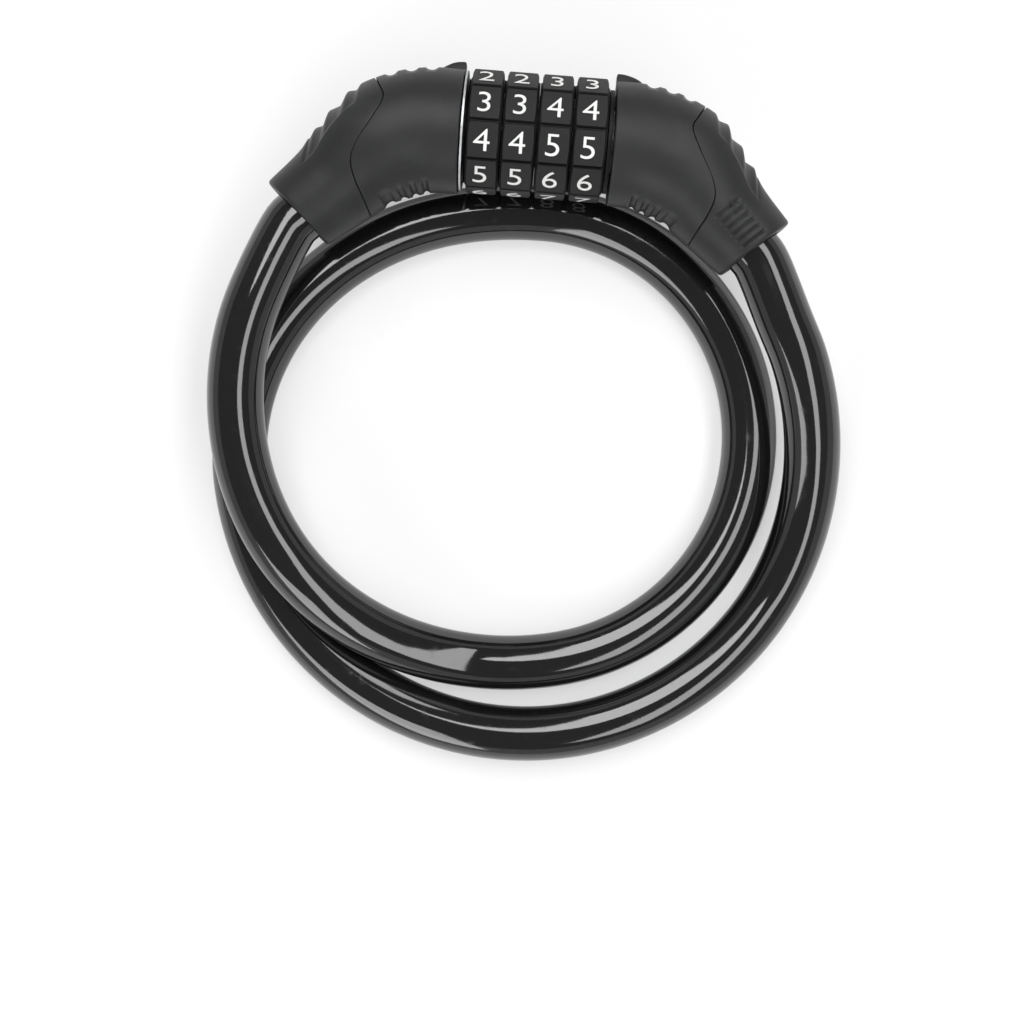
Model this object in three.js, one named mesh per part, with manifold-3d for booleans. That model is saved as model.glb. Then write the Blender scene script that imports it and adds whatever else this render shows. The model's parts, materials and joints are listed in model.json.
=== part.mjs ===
// Coiling cable lock: a combination head of four ten-faced dials, with a covered steel cable that leaves
// one side of the head, lies in nearly two turns and comes back into the plug on the other side.
// Millimetres, +Z up. The cable lies on z = 0, and the origin is on its flat underside where the inner
// turn passes beneath the dials, midway between the head's two elbows. X runs along the axis of the
// dials, from the lock body to the plug, and +Y points away from the middle of the coil.
import * as THREE from "three";
import { mergeVertices } from "three/addons/utils/BufferGeometryUtils.js";
import Module from "manifold-3d";

const wasm = await Module();
wasm.setup();

// ---------------------------------------------------------------- driving dimensions

const GAP = 0.3; // air between neighbouring pieces

// cable: a wire rope core in a soft jacket
const CABLE_DIAMETER = 12;
const CORE_DIAMETER = 7;
const CABLE_FLAT = CABLE_DIAMETER / 10; // depth of the flat that it rests on
const CABLE_SIDES = 12;
const CORE_SIDES = 6;
const CABLE_RINGS = 104;

// coil, in polar form about its own middle: degrees counter-clockwise, millimetres
const COIL_MIDDLE = new THREE.Vector2(3.5, -51.3);
const COIL_START = 156;
const COIL_END = 750;
const COIL_STEPS = 74;
const OUTER_START_RADIUS = 66.1;
const INNER_RADIUS = 47;
const UNDER_HEAD_RADIUS = 51.3;
const OUTER_RADIUS = 62.9;
const RISE_START = 690; // where the large turn starts to rise to the plug
const RISEN_RADIUS = 59.7; // and its radius once it has risen
const CROSSING_HEIGHT = 12.6; // of the crossing stretch above the stretch that it crosses

// head
const AXIS_Y = 12.8; // of the dial axis, outside the turn that passes under it
const AXIS_Z = 21.2;

// dials
const DIAL_COUNT = 4;
const DIAL_FACES = 10;
const DIALS_X = 0.6; // middle of the four dials
const DIAL_PITCH = 7.2;
const DIAL_WIDTH = 6.4;
const DIAL_CORNER_RADIUS = 13;
const DIAL_RIM_RADIUS = 12.1; // where the side chamfer starts
const DIAL_CHAMFER = 0.45;
const DIAL_GROOVE_WIDTH = 0.9;
const DIAL_GROOVE_DEPTH = 0.55;
const DIAL_FACE_TILT = -20; // of one face from straight up, towards +Y
const HUB_WIDTH = DIAL_PITCH - GAP;
const HUB_RADIUS = 10.9;
const DIAL_BORE = 9.6;
const KEY_WIDTH = 2.4;
const KEY_DEPTH = 0.9;

// clutch rings, one keyed into each dial
const CLUTCH_RADIUS = DIAL_BORE - GAP;
const CLUTCH_BORE = 6.8;
const CLUTCH_WIDTH = 4.2;
const GATE_WIDTH = 3.2;
const GATE_RADIUS = 8.6;
const DETENT_DEPTH = 0.5;

// barrel that the dials turn on, and the pin that slides in it
const BARREL_RADIUS = 6.4;
const BARREL_BORE = 4.2;
const BARREL_MOUTH_X = 17.2;
const BARREL_BOTTOM_X = -19.2;
const SLOT_END_X = -15.4;
const CHANNEL_WIDTH = 3.6;
const CHANNEL_RADIUS = 5.1;
const PIN_RADIUS = 3.9;
const PIN_TIP_X = -18.6;
const TOOTH_RADIUS = 8.2;
const TOOTH_WIDTH = 1.7;
const TOOTH_THICKNESS = 2.6;
const COLLAR_RADIUS = 6.6;
const COLLAR_X = [17.9, 20.1];

// thrust washer and retaining ring at the two ends of the dials
const WASHER_RADIUS = 12.3;
const WASHER_THICKNESS = 0.4;
const RING_RADIUS = 10.6;
const RING_THICKNESS = 0.8;
const RING_BORE = 5.9;
const RING_GROOVE_RADIUS = 5.6;

// fork joint between the head's steel parts and the cable's ferrules
const ELBOW_X = 29.6; // where the sleeve's axis meets the dial axis
const BEND_ANGLE = THREE.MathUtils.degToRad(48.6);
const SHANK_END_X = 25;
const EAR_RADIUS = 3.8;
const EAR_THICKNESS = 2.3;
const TONGUE_THICKNESS = 3.2;
const RIVET_RADIUS = 1.6;
const RIVET_HOLE = 1.9;
const RIVET_HEAD_RADIUS = 2.7;
const RIVET_HEAD_THICKNESS = 0.8;

// ferrules, by distance from the elbow along the sleeve's axis
const FERRULE_RADIUS = 5.2;
const FERRULE_BORE = 3.9;
const FERRULE_START = 5.4;
const FERRULE_FLOOR = 7;
const FERRULE_END = 14.4;
const CRIMPS = [9.35, 12.25]; // middles of the two pressed bands
const CRIMP_WIDTH = 1.1;
const CRIMP_DEPTH = 0.5;
const CRIMP_SLOPE = 0.4;
const SLEEVE_LENGTH = 27.1;
const STRAIGHT_LENGTH = 29.6; // of the cable, to a little beyond the sleeve's mouth

// covers: a round body that bends from the dial axis to the sleeve's axis
const BODY_FACE_X = 15.1; // the lock body's end, left of the dials
const PLUG_FACE_X = 16.3; // the plug's end, right of the dials
const BEND_RADIUS = 24;
const BEND_START_X = ELBOW_X - BEND_RADIUS * Math.tan(BEND_ANGLE / 2);
const COVER_SIDES = 28;
const COVER_STATIONS = 13;
const EDGE_ROUNDING = 0.5;
// how far each flank stands from the middle line: distance after the start of the bend, reach there
const OUTER_FLANK = [
  [-4, 12.4],
  [8, 12.5],
  [16, 12.2],
  [23, 10.5],
  [26.5, 9.5],
  [36.4, 9.35],
];
const INNER_FLANK = [
  [-4, 13],
  [4, 13.1],
  [14, 12.8],
  [22, 11.3],
  [30, 9.8],
  [36.4, 8.5],
];
const SEAM = [
  [38.2, 16],
  [35.6, 9.2],
  [34.6, 7.2],
  [33.1, 4.4],
  [31.95, 1.8],
  [33.6, -2.7],
  [36.8, -8.5],
  [37.55, -11.8],
  [36.4, -15.5],
  [34.9, -18.2],
  [31.5, -25],
];
const BODY_SEAM_SHIFT = [-1, 1.5]; // the lock body's seam against the plug's
const STEPS = [
  // outer corner and inner corner of each step of the ribbed side
  [36.8, 7.6, 37.2, 6],
  [40, 4.5, 40.5, 2.2],
  [43.1, 0.6, 43.6, -1.8],
  [46.4, -4.2, 46.8, -5.1],
];
const STEP_SLANT = 1.15; // how far the steps lean back over the top, for each millimetre of height
const STEP_UPRIGHT = 3; // half height of their upright part
const COVER_BORE = 7;
const ELBOW_ROOM = 7.4;
const OUTER_GRIPS = [2.9, 5.7, 8.5]; // grooves for the fingers, by distance after the start of the bend
const INNER_GRIPS = [6, 11, 16, 21];
const GRIP_RADIUS = 0.8;
const GRIP_DEPTH = 0.5;
const POINTER_LENGTH = 3.9;
const POINTER_HEIGHT = 1.7;
const POINTER_WIDTH = 3;

// ---------------------------------------------------------------- materials

const finish = (color, roughness, metalness) =>
  new THREE.MeshStandardMaterial({ color, roughness, metalness });

const COVER_PLASTIC = finish("#38393a", 0.55, 0);
const DIAL_PLASTIC = finish("#232324", 0.6, 0);
const JACKET_VINYL = finish("#141415", 0.2, 0);
const BRIGHT_STEEL = finish("#b9bcc0", 0.3, 1);
const ZINC_STEEL = finish("#9da1a5", 0.45, 1);
const SPRING_STEEL = finish("#3d3e40", 0.4, 1);
const BRASS = finish("#b08d4a", 0.4, 1);

// ---------------------------------------------------------------- shape helpers

const ALONG_X = new THREE.Matrix4().makeBasis(
  new THREE.Vector3(0, 1, 0),
  new THREE.Vector3(0, 0, 1),
  new THREE.Vector3(1, 0, 0),
);

// A closed solid of a geometry, for joining and cutting.
function solid(geometry) {
  const bare = geometry.clone();
  bare.deleteAttribute("normal");
  bare.deleteAttribute("uv");
  const merged = mergeVertices(bare, 1e-4);
  const corners = merged.index.array;
  const kept = [];
  for (let i = 0; i < corners.length; i += 3) {
    const [a, b, c] = corners.subarray(i, i + 3);
    if (a !== b && b !== c && c !== a) kept.push(a, b, c);
  }
  return new wasm.Manifold(
    new wasm.Mesh({
      numProp: 3,
      vertProperties: merged.attributes.position.array,
      triVerts: new Uint32Array(kept),
    }),
  );
}

const cut = (body, ...tools) => tools.reduce((left, tool) => left.subtract(tool), body);
const join = (body, ...others) => others.reduce((whole, other) => whole.add(other), body);

// The drawable geometry of a solid.
function geometryOf(body) {
  const mesh = body.getMesh();
  const geometry = new THREE.BufferGeometry();
  geometry.setAttribute("position", new THREE.BufferAttribute(mesh.vertProperties, 3));
  geometry.setIndex(new THREE.BufferAttribute(mesh.triVerts, 1));
  return geometry;
}

// A solid turned about the X axis, from its outline as [x, radius] pairs.
function turned(outline, segments = 32) {
  const points = outline.map(([x, radius]) => new THREE.Vector2(radius, x));
  return solid(new THREE.LatheGeometry(points, segments).rotateZ(-Math.PI / 2));
}

const rod = (x0, x1, radius, segments) =>
  turned([[x0, 0], [x0, radius], [x1, radius], [x1, 0]], segments);

const tube = (x0, x1, bore, radius, segments) =>
  turned([[x0, bore], [x0, radius], [x1, radius], [x1, bore], [x0, bore]], segments);

function block(x0, x1, y0, y1, z0, z1) {
  const geometry = new THREE.BoxGeometry(x1 - x0, y1 - y0, z1 - z0);
  return solid(geometry.translate((x0 + x1) / 2, (y0 + y1) / 2, (z0 + z1) / 2));
}

const upright = (x, y, radius, z0, z1, segments = 20) =>
  solid(
    new THREE.CylinderGeometry(radius, radius, z1 - z0, segments)
      .rotateX(Math.PI / 2)
      .translate(x, y, (z0 + z1) / 2),
  );

// A prism from an outline in plan, between two heights.
function plate(points, z0, z1) {
  const shape = new THREE.Shape(points.map(([x, y]) => new THREE.Vector2(x, y)));
  const options = { depth: z1 - z0, bevelEnabled: false };
  return new THREE.ExtrudeGeometry(shape, options).translate(0, 0, z0);
}

// A prism along X from a shape drawn in Y and Z.
function prismAlongX(shape, x0, x1) {
  const options = { depth: x1 - x0, bevelEnabled: false, curveSegments: 6 };
  return solid(new THREE.ExtrudeGeometry(shape, options).applyMatrix4(ALONG_X).translate(x0, 0, 0));
}

// A point on a circle about the X axis as [y, z], its angle counted from +Z towards +Y.
const onCircle = (radius, angle) =>
  new THREE.Vector2(radius * Math.sin(angle), radius * Math.cos(angle));

// A solid skinned over rings of points that run right-handed about the way from the first to the last.
function skinned(rings) {
  const count = rings[0].length;
  const last = (rings.length - 1) * count;
  const index = [];
  for (let ring = 0; ring < last; ring += count) {
    for (let j = 0; j < count; j++) {
      const a = ring + j;
      const b = ring + ((j + 1) % count);
      index.push(a, b, b + count, a, b + count, a + count);
    }
  }
  for (let j = 1; j < count - 1; j++) {
    index.push(0, j + 1, j, last, last + j, last + j + 1);
  }
  const geometry = new THREE.BufferGeometry().setFromPoints(rings.flat());
  geometry.setIndex(index);
  return solid(geometry);
}

// A level ring of points about a place on a path, square to the path.
function ringAbout(place, direction, radius, sides) {
  const across = new THREE.Vector3(-direction.y, direction.x, 0).normalize();
  const up = new THREE.Vector3().crossVectors(direction, across).normalize();
  return Array.from({ length: sides }, (_, j) => {
    const angle = (2 * Math.PI * j) / sides;
    return place
      .clone()
      .addScaledVector(across, radius * Math.cos(angle))
      .addScaledVector(up, radius * Math.sin(angle));
  });
}

// The same piece for the other side of the head.
function mirrored(body) {
  const geometry = geometryOf(body);
  geometry.scale(-1, 1, 1);
  const corners = geometry.index.array;
  for (let i = 0; i < corners.length; i += 3) {
    [corners[i], corners[i + 1]] = [corners[i + 1], corners[i]];
  }
  return solid(geometry);
}

// 0 before start, 1 after end, and smooth between.
const ease = (value, start, end) => THREE.MathUtils.smoothstep(value, start, end);

// ---------------------------------------------------------------- dials and clutch rings

const dialMiddle = (number) => DIALS_X + (number - (DIAL_COUNT + 1) / 2) * DIAL_PITCH;

// Ten flat faces with a groove at each corner.
function dialOutline() {
  const turn = (2 * Math.PI) / DIAL_FACES;
  const tilt = THREE.MathUtils.degToRad(DIAL_FACE_TILT);
  const faceHeight = DIAL_CORNER_RADIUS * Math.cos(turn / 2);
  const halfFace = DIAL_CORNER_RADIUS * Math.sin(turn / 2) - DIAL_GROOVE_WIDTH / 2;
  const faceEndRadius = Math.hypot(faceHeight, halfFace);
  const faceEndAngle = Math.atan2(halfFace, faceHeight);
  const points = [];
  for (let face = 0; face < DIAL_FACES; face++) {
    const middle = tilt + face * turn;
    points.push(onCircle(faceEndRadius, middle - faceEndAngle));
    points.push(onCircle(faceEndRadius, middle + faceEndAngle));
    points.push(onCircle(faceHeight - DIAL_GROOVE_DEPTH, middle + turn / 2));
  }
  return new THREE.Shape(points);
}

function dial(number) {
  const x = dialMiddle(number);
  const half = DIAL_WIDTH / 2;
  const faces = prismAlongX(dialOutline(), x - half, x + half);
  const chamfered = turned(
    [
      [x - half, 0],
      [x - half, DIAL_RIM_RADIUS],
      [x - half + DIAL_CHAMFER, DIAL_CORNER_RADIUS],
      [x + half - DIAL_CHAMFER, DIAL_CORNER_RADIUS],
      [x + half, DIAL_RIM_RADIUS],
      [x + half, 0],
    ],
    30,
  );
  const hub = rod(x - HUB_WIDTH / 2, x + HUB_WIDTH / 2, HUB_RADIUS, 30);
  const bore = rod(x - DIAL_PITCH, x + DIAL_PITCH, DIAL_BORE, 30);
  const reach = DIAL_BORE + KEY_DEPTH;
  const keyway = block(x - DIAL_PITCH, x + DIAL_PITCH, -KEY_WIDTH / 2, KEY_WIDTH / 2, -reach, reach);
  return cut(join(faces.intersect(chamfered), hub), bore, keyway);
}

// Two keys outside, a gate for the pin's teeth inside, and a hollow at each other setting of the dial.
function clutchRing(number) {
  const x = dialMiddle(number);
  const outline = new THREE.Shape();
  outline.absarc(0, 0, CLUTCH_RADIUS, 0, 2 * Math.PI);
  const hole = new THREE.Path();
  const turn = (2 * Math.PI) / DIAL_FACES;
  const hollow = turn / 5;
  const gateHalf = GATE_WIDTH / 2;
  const gateAngle = Math.asin(gateHalf / CLUTCH_BORE);
  const points = [];
  for (let setting = 0; setting < DIAL_FACES; setting++) {
    const middle = Math.PI / 2 + setting * turn;
    if (setting === 0) {
      points.push(onCircle(CLUTCH_BORE, middle - gateAngle));
      points.push(new THREE.Vector2(GATE_RADIUS, gateHalf));
      points.push(new THREE.Vector2(GATE_RADIUS, -gateHalf));
      points.push(onCircle(CLUTCH_BORE, middle + gateAngle));
    } else {
      points.push(onCircle(CLUTCH_BORE, middle - hollow));
      points.push(onCircle(CLUTCH_BORE + DETENT_DEPTH, middle - hollow / 3));
      points.push(onCircle(CLUTCH_BORE + DETENT_DEPTH, middle + hollow / 3));
      points.push(onCircle(CLUTCH_BORE, middle + hollow));
    }
  }
  hole.setFromPoints(points);
  outline.holes.push(hole);
  const ring = prismAlongX(outline, x - CLUTCH_WIDTH / 2, x + CLUTCH_WIDTH / 2);
  const keyHalf = KEY_WIDTH / 2 - GAP;
  const keyReach = DIAL_BORE + KEY_DEPTH - GAP;
  const x0 = x - CLUTCH_WIDTH / 2;
  const x1 = x + CLUTCH_WIDTH / 2;
  const inside = CLUTCH_RADIUS - 0.6;
  return join(
    ring,
    block(x0, x1, -keyHalf, keyHalf, inside, keyReach),
    block(x0, x1, -keyHalf, keyHalf, -keyReach, -inside),
  );
}

// ---------------------------------------------------------------- steel parts of the head

// Two ears with a rivet hole, on the end of a round shank that reaches back to a given x.
function fork(x0) {
  const room = TONGUE_THICKNESS / 2 + GAP;
  const reach = room + EAR_THICKNESS;
  const shank = rod(x0, SHANK_END_X, BARREL_RADIUS - 1, 24);
  const ears = join(
    upright(ELBOW_X, 0, EAR_RADIUS, -reach, reach),
    block(SHANK_END_X - 1, ELBOW_X, -EAR_RADIUS, EAR_RADIUS, -reach, reach),
  );
  const slot = block(SHANK_END_X, ELBOW_X + 2 * EAR_RADIUS, -2 * EAR_RADIUS, 2 * EAR_RADIUS, -room, room);
  return cut(join(shank, ears), slot, upright(ELBOW_X, 0, RIVET_HOLE, -2 * reach, 2 * reach));
}

function slottedBarrel() {
  const washerX = dialMiddle(DIAL_COUNT) + HUB_WIDTH / 2 + GAP;
  const shell = rod(-SHANK_END_X + 1, BARREL_MOUTH_X, BARREL_RADIUS, 40);
  const bore = rod(BARREL_BOTTOM_X, BARREL_MOUTH_X + 1, BARREL_BORE, 24);
  const slot = block(SLOT_END_X, BARREL_MOUTH_X + 1, 0, 2 * BARREL_RADIUS, -GATE_WIDTH / 2, GATE_WIDTH / 2);
  const channel = block(
    BARREL_BOTTOM_X - 1,
    BARREL_MOUTH_X - 3,
    -2 * BARREL_RADIUS,
    -CHANNEL_RADIUS,
    -CHANNEL_WIDTH / 2,
    CHANNEL_WIDTH / 2,
  );
  const groove = tube(
    washerX - GAP / 2,
    washerX + RING_THICKNESS + GAP,
    RING_GROOVE_RADIUS,
    2 * BARREL_RADIUS,
    40,
  );
  return cut(join(shell, mirrored(fork(SHANK_END_X - 3))), bore, slot, channel, groove);
}

// The pin carries one tooth for each clutch ring; at rest each tooth stands beside its ring.
function toothedPin() {
  const shaft = turned(
    [
      [PIN_TIP_X, 0],
      [PIN_TIP_X, PIN_RADIUS - 1],
      [PIN_TIP_X + 1.2, PIN_RADIUS],
      [COLLAR_X[0], PIN_RADIUS],
      [COLLAR_X[0], COLLAR_RADIUS],
      [COLLAR_X[1], COLLAR_RADIUS],
      [COLLAR_X[1], BARREL_RADIUS - 1],
      [SHANK_END_X - 3, BARREL_RADIUS - 1],
      [SHANK_END_X - 3, 0],
    ],
    24,
  );
  const teeth = [];
  for (let number = 1; number <= DIAL_COUNT; number++) {
    const x = dialMiddle(number) - DIAL_PITCH / 2;
    const half = TOOTH_WIDTH / 2;
    teeth.push(block(x - half, x + half, 1, TOOTH_RADIUS, -TOOTH_THICKNESS / 2, TOOTH_THICKNESS / 2));
  }
  return join(shaft, fork(SHANK_END_X - 4), ...teeth);
}

// A strip along the barrel with a bump under each clutch ring.
function detentSpring() {
  const start = BARREL_BOTTOM_X - 0.6;
  const end = BARREL_MOUTH_X - 3 - GAP;
  const low = CHANNEL_RADIUS + GAP;
  const thickness = 0.45;
  const rise = CLUTCH_BORE - GAP - low - thickness;
  const bumpHalf = 1.8;
  const top = [];
  for (let number = 1; number <= DIAL_COUNT; number++) {
    for (const share of [-1, -0.55, -0.2, 0.2, 0.55, 1]) {
      const lift = Math.cos((share * Math.PI) / 2) ** 2;
      top.push([dialMiddle(number) + share * bumpHalf, low + rise * lift]);
    }
  }
  const line = [[start, low], ...top, [end, low]];
  const over = line.map(([x, radius]) => [x, -radius - thickness]);
  const under = line.map(([x, radius]) => [x, -radius]).reverse();
  const halfWidth = CHANNEL_WIDTH / 2 - GAP;
  return solid(plate([...over, ...under], -halfWidth, halfWidth));
}

// A thin disc beside the cover, with a shoulder that the first dial's hub runs against.
function thrustWasher() {
  const x0 = GAP - BODY_FACE_X;
  const x1 = dialMiddle(1) - HUB_WIDTH / 2 - GAP;
  const disc = tube(x0, x0 + WASHER_THICKNESS, BARREL_RADIUS + GAP, WASHER_RADIUS, 40);
  const shoulder = tube(x0, x1, BARREL_RADIUS + GAP, HUB_RADIUS - GAP, 40);
  const gate = block(x0 - 1, x1 + 1, 0, GATE_RADIUS, -GATE_WIDTH / 2, GATE_WIDTH / 2);
  return cut(join(disc, shoulder), gate);
}

// An open ring in the groove at the barrel's mouth.
function retainingRing() {
  const x0 = dialMiddle(DIAL_COUNT) + HUB_WIDTH / 2 + GAP;
  const x1 = x0 + RING_THICKNESS;
  const opening = block(x0 - 1, x1 + 1, 0, 2 * RING_RADIUS, -GATE_WIDTH / 2 - 0.4, GATE_WIDTH / 2 + 0.4);
  return cut(tube(x0, x1, RING_BORE, RING_RADIUS, 40), opening);
}

function rivet() {
  const under = TONGUE_THICKNESS / 2 + GAP + EAR_THICKNESS + GAP;
  const over = under + RIVET_HEAD_THICKNESS;
  return join(
    upright(ELBOW_X, 0, RIVET_RADIUS, -under - 0.1, under + 0.1, 16),
    upright(ELBOW_X, 0, RIVET_HEAD_RADIUS, under, over, 16),
    upright(ELBOW_X, 0, RIVET_HEAD_RADIUS, -over, -under, 16),
  );
}

// Made along +X from the rivet, then swung to the sleeve's axis and moved to the elbow.
function onSleeveAxis(body) {
  const geometry = geometryOf(body);
  return solid(geometry.rotateZ(-BEND_ANGLE).translate(ELBOW_X, 0, 0));
}

function ferrule() {
  const pressed = CRIMPS.flatMap((middle) => [
    [middle - CRIMP_WIDTH / 2 - CRIMP_SLOPE, FERRULE_RADIUS],
    [middle - CRIMP_WIDTH / 2, FERRULE_RADIUS - CRIMP_DEPTH],
    [middle + CRIMP_WIDTH / 2, FERRULE_RADIUS - CRIMP_DEPTH],
    [middle + CRIMP_WIDTH / 2 + CRIMP_SLOPE, FERRULE_RADIUS],
  ]);
  const outline = [
    [FERRULE_START, 0],
    [FERRULE_START, FERRULE_RADIUS],
    ...pressed,
    [FERRULE_END, FERRULE_RADIUS],
    [FERRULE_END, FERRULE_BORE],
    [FERRULE_FLOOR, FERRULE_BORE],
    [FERRULE_FLOOR, 0],
  ];
  const can = turned(outline, 24);
  const half = TONGUE_THICKNESS / 2;
  const tongue = join(
    upright(0, 0, EAR_RADIUS, -half, half),
    block(0, FERRULE_START + 0.5, -EAR_RADIUS, EAR_RADIUS, -half, half),
  );
  return onSleeveAxis(cut(join(can, tongue), upright(0, 0, RIVET_HOLE, -2, 2)));
}

// ---------------------------------------------------------------- covers

// The middle line of one side's cover, from its face beside the dials to the mouth of its sleeve.
function coverLine(faceX) {
  const line = new THREE.CurvePath();
  const bendEnd = new THREE.Vector2(Math.sin(BEND_ANGLE), Math.cos(BEND_ANGLE) - 1)
    .multiplyScalar(BEND_RADIUS)
    .add(new THREE.Vector2(BEND_START_X, 0));
  const mouth = sleevePoint(SLEEVE_LENGTH);
  line.add(new THREE.LineCurve(new THREE.Vector2(faceX, 0), new THREE.Vector2(BEND_START_X, 0)));
  line.add(
    new THREE.EllipseCurve(
      BEND_START_X,
      -BEND_RADIUS,
      BEND_RADIUS,
      BEND_RADIUS,
      Math.PI / 2,
      Math.PI / 2 - BEND_ANGLE,
      true,
    ),
  );
  line.add(new THREE.LineCurve(bendEnd, new THREE.Vector2(mouth.x, mouth.y)));
  return line;
}

// A point on the sleeve's axis, by its distance from the elbow.
const sleevePoint = (distance) =>
  new THREE.Vector2(ELBOW_X + distance * Math.cos(BEND_ANGLE), -distance * Math.sin(BEND_ANGLE));

const smoothLine = (points) => new THREE.SplineCurve(points.map(([x, y]) => new THREE.Vector2(x, y)));
const OUTER_CURVE = smoothLine(OUTER_FLANK);
const INNER_CURVE = smoothLine(INNER_FLANK);

// How far a flank stands from the middle line at a distance after the start of the bend.
function reachAt(curve, afterBend) {
  let low = 0;
  let high = 1;
  for (let i = 0; i < 24; i++) {
    const middle = (low + high) / 2;
    if (curve.getPoint(middle).x < afterBend) low = middle;
    else high = middle;
  }
  return curve.getPoint(low).y;
}

// Round sections whose middles lie off the middle line, as the two flanks differ.
function coverBody(faceX) {
  const line = coverLine(faceX);
  const length = line.getLength();
  const stations = [0, EDGE_ROUNDING];
  for (let i = 1; i < COVER_STATIONS; i++) stations.push((length * i) / COVER_STATIONS);
  stations.push(length - EDGE_ROUNDING, length);
  const rings = stations.map((along, i) => {
    const atEnd = i === 0 || i === stations.length - 1;
    const place = line.getPointAt(along / length);
    const direction = line.getTangentAt(along / length);
    const afterBend = along - (BEND_START_X - faceX);
    const outer = reachAt(OUTER_CURVE, afterBend);
    const inner = reachAt(INNER_CURVE, afterBend);
    place.add(new THREE.Vector2(-direction.y, direction.x).multiplyScalar((outer - inner) / 2));
    return ringAbout(
      new THREE.Vector3(place.x, place.y, 0),
      new THREE.Vector3(direction.x, direction.y, 0),
      (outer + inner) / 2 - (atEnd ? EDGE_ROUNDING : 0),
      COVER_SIDES,
    );
  });
  return skinned(rings);
}

// Everything on the dials' side of the seam, moved in plan and widened along X.
function seamSide([dx, dy], wider) {
  const moved = SEAM.map(([x, y]) => [x + dx + wider, y + dy]);
  const points = smoothLine(moved).getPoints(30).map(({ x, y }) => [x, y]);
  return solid(plate([[0, -25], ...points.reverse(), [0, 16]], -20, 20));
}

// The room inside one side: bore, space round the rivet, ferrule and cable.
function coverRoom(faceX) {
  return join(
    rod(faceX - 1, ELBOW_X, COVER_BORE, 24),
    solid(new THREE.SphereGeometry(ELBOW_ROOM, 16, 8).translate(ELBOW_X, 0, 0)),
    onSleeveAxis(
      join(
        rod(0, FERRULE_END + GAP, FERRULE_RADIUS + 0.4, 24),
        rod(FERRULE_END, SLEEVE_LENGTH + 5, CABLE_DIAMETER / 2 + GAP + 0.1, 24),
      ),
    ),
  );
}

// Short grooves for the fingers, down both flanks of the cover.
function gripGrooves(faceX) {
  const line = coverLine(faceX);
  const length = line.getLength();
  const groove = (afterBend, reach) => {
    const along = (afterBend + BEND_START_X - faceX) / length;
    const place = line.getPointAt(along);
    const direction = line.getTangentAt(along);
    return upright(place.x - direction.y * reach, place.y + direction.x * reach, GRIP_RADIUS, -8, 8, 10);
  };
  const beyond = GRIP_RADIUS - GRIP_DEPTH;
  return [
    ...OUTER_GRIPS.map((afterBend) => groove(afterBend, reachAt(OUTER_CURVE, afterBend) + beyond)),
    ...INNER_GRIPS.map((afterBend) => groove(afterBend, -reachAt(INNER_CURVE, afterBend) - beyond)),
  ];
}

// A small raised pointer beside the dials, on the side away from the coil.
function pointer(faceX) {
  const base = reachAt(OUTER_CURVE, 0);
  const outline = [
    [0, base - 1],
    [POINTER_LENGTH, base - 1],
    [POINTER_LENGTH, base],
    [0.75 * POINTER_LENGTH, base + 0.65 * POINTER_HEIGHT],
    [0.4 * POINTER_LENGTH, base + 0.95 * POINTER_HEIGHT],
    [0, base + POINTER_HEIGHT],
  ].map(([x, y]) => [faceX + x, y]);
  return solid(plate(outline, -POINTER_WIDTH / 2, POINTER_WIDTH / 2));
}

function barrelCover(faceX, seamShift) {
  const shaped = coverBody(faceX).intersect(seamSide(seamShift, -0.18));
  return cut(join(shaped, pointer(faceX)), coverRoom(faceX), ...gripGrooves(faceX));
}

// The stepped outline in plan, upright at half height and leaning back over the top and the bottom.
function steppedBlock() {
  const steps = STEPS.flatMap(([x0, y0, x1, y1]) => [[x0, y0], [x1, y1]]);
  const outline = [[18, -40], [60, -40], [60, -20], ...steps.reverse(), [30, 14], [18, 14]];
  const middle = solid(plate(outline, -STEP_UPRIGHT, STEP_UPRIGHT));
  const lean = new THREE.Matrix4().makeShear(0, 0, 0, 0, 0, -STEP_SLANT);
  const top = plate(outline, 0, 12).applyMatrix4(lean).translate(0, 0, STEP_UPRIGHT);
  const leanBack = new THREE.Matrix4().makeShear(0, 0, 0, 0, 0, STEP_SLANT);
  const bottom = plate(outline, -12, 0).applyMatrix4(leanBack).translate(0, 0, -STEP_UPRIGHT);
  return join(middle, solid(top), solid(bottom));
}

function cableSleeve(faceX, seamShift) {
  const beyondSeam = cut(coverBody(faceX), seamSide(seamShift, 0.18));
  return cut(beyondSeam.intersect(steppedBlock()), coverRoom(faceX));
}

// ---------------------------------------------------------------- cable

// A point on a sleeve's axis in the whole part's frame: side is -1 at the lock body, 1 at the plug.
function cableEnd(side, distance) {
  const { x, y } = sleevePoint(distance);
  return new THREE.Vector3(side * x, AXIS_Y + y, AXIS_Z);
}

// The coil: in from the start to the small turn, under the head, and out to the large turn.
function coilPoint(degrees) {
  const rise = ease(degrees, RISE_START, COIL_END);
  const radius =
    OUTER_START_RADIUS +
    (INNER_RADIUS - OUTER_START_RADIUS) * ease(degrees, 130, 285) +
    (UNDER_HEAD_RADIUS - INNER_RADIUS) * ease(degrees, 290, 450) +
    (OUTER_RADIUS - UNDER_HEAD_RADIUS) * ease(degrees, 450, 550) +
    (RISEN_RADIUS - OUTER_RADIUS) * rise;
  const lying = CABLE_DIAMETER / 2 - CABLE_FLAT;
  const height =
    lying +
    (AXIS_Z - lying - CROSSING_HEIGHT) * (1 - ease(degrees, 150, 188)) +
    CROSSING_HEIGHT * (1 - ease(degrees, 205, 265)) +
    (AXIS_Z - lying) * rise;
  const angle = THREE.MathUtils.degToRad(degrees);
  return new THREE.Vector3(
    COIL_MIDDLE.x + radius * Math.cos(angle),
    COIL_MIDDLE.y + radius * Math.sin(angle),
    height,
  );
}

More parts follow.
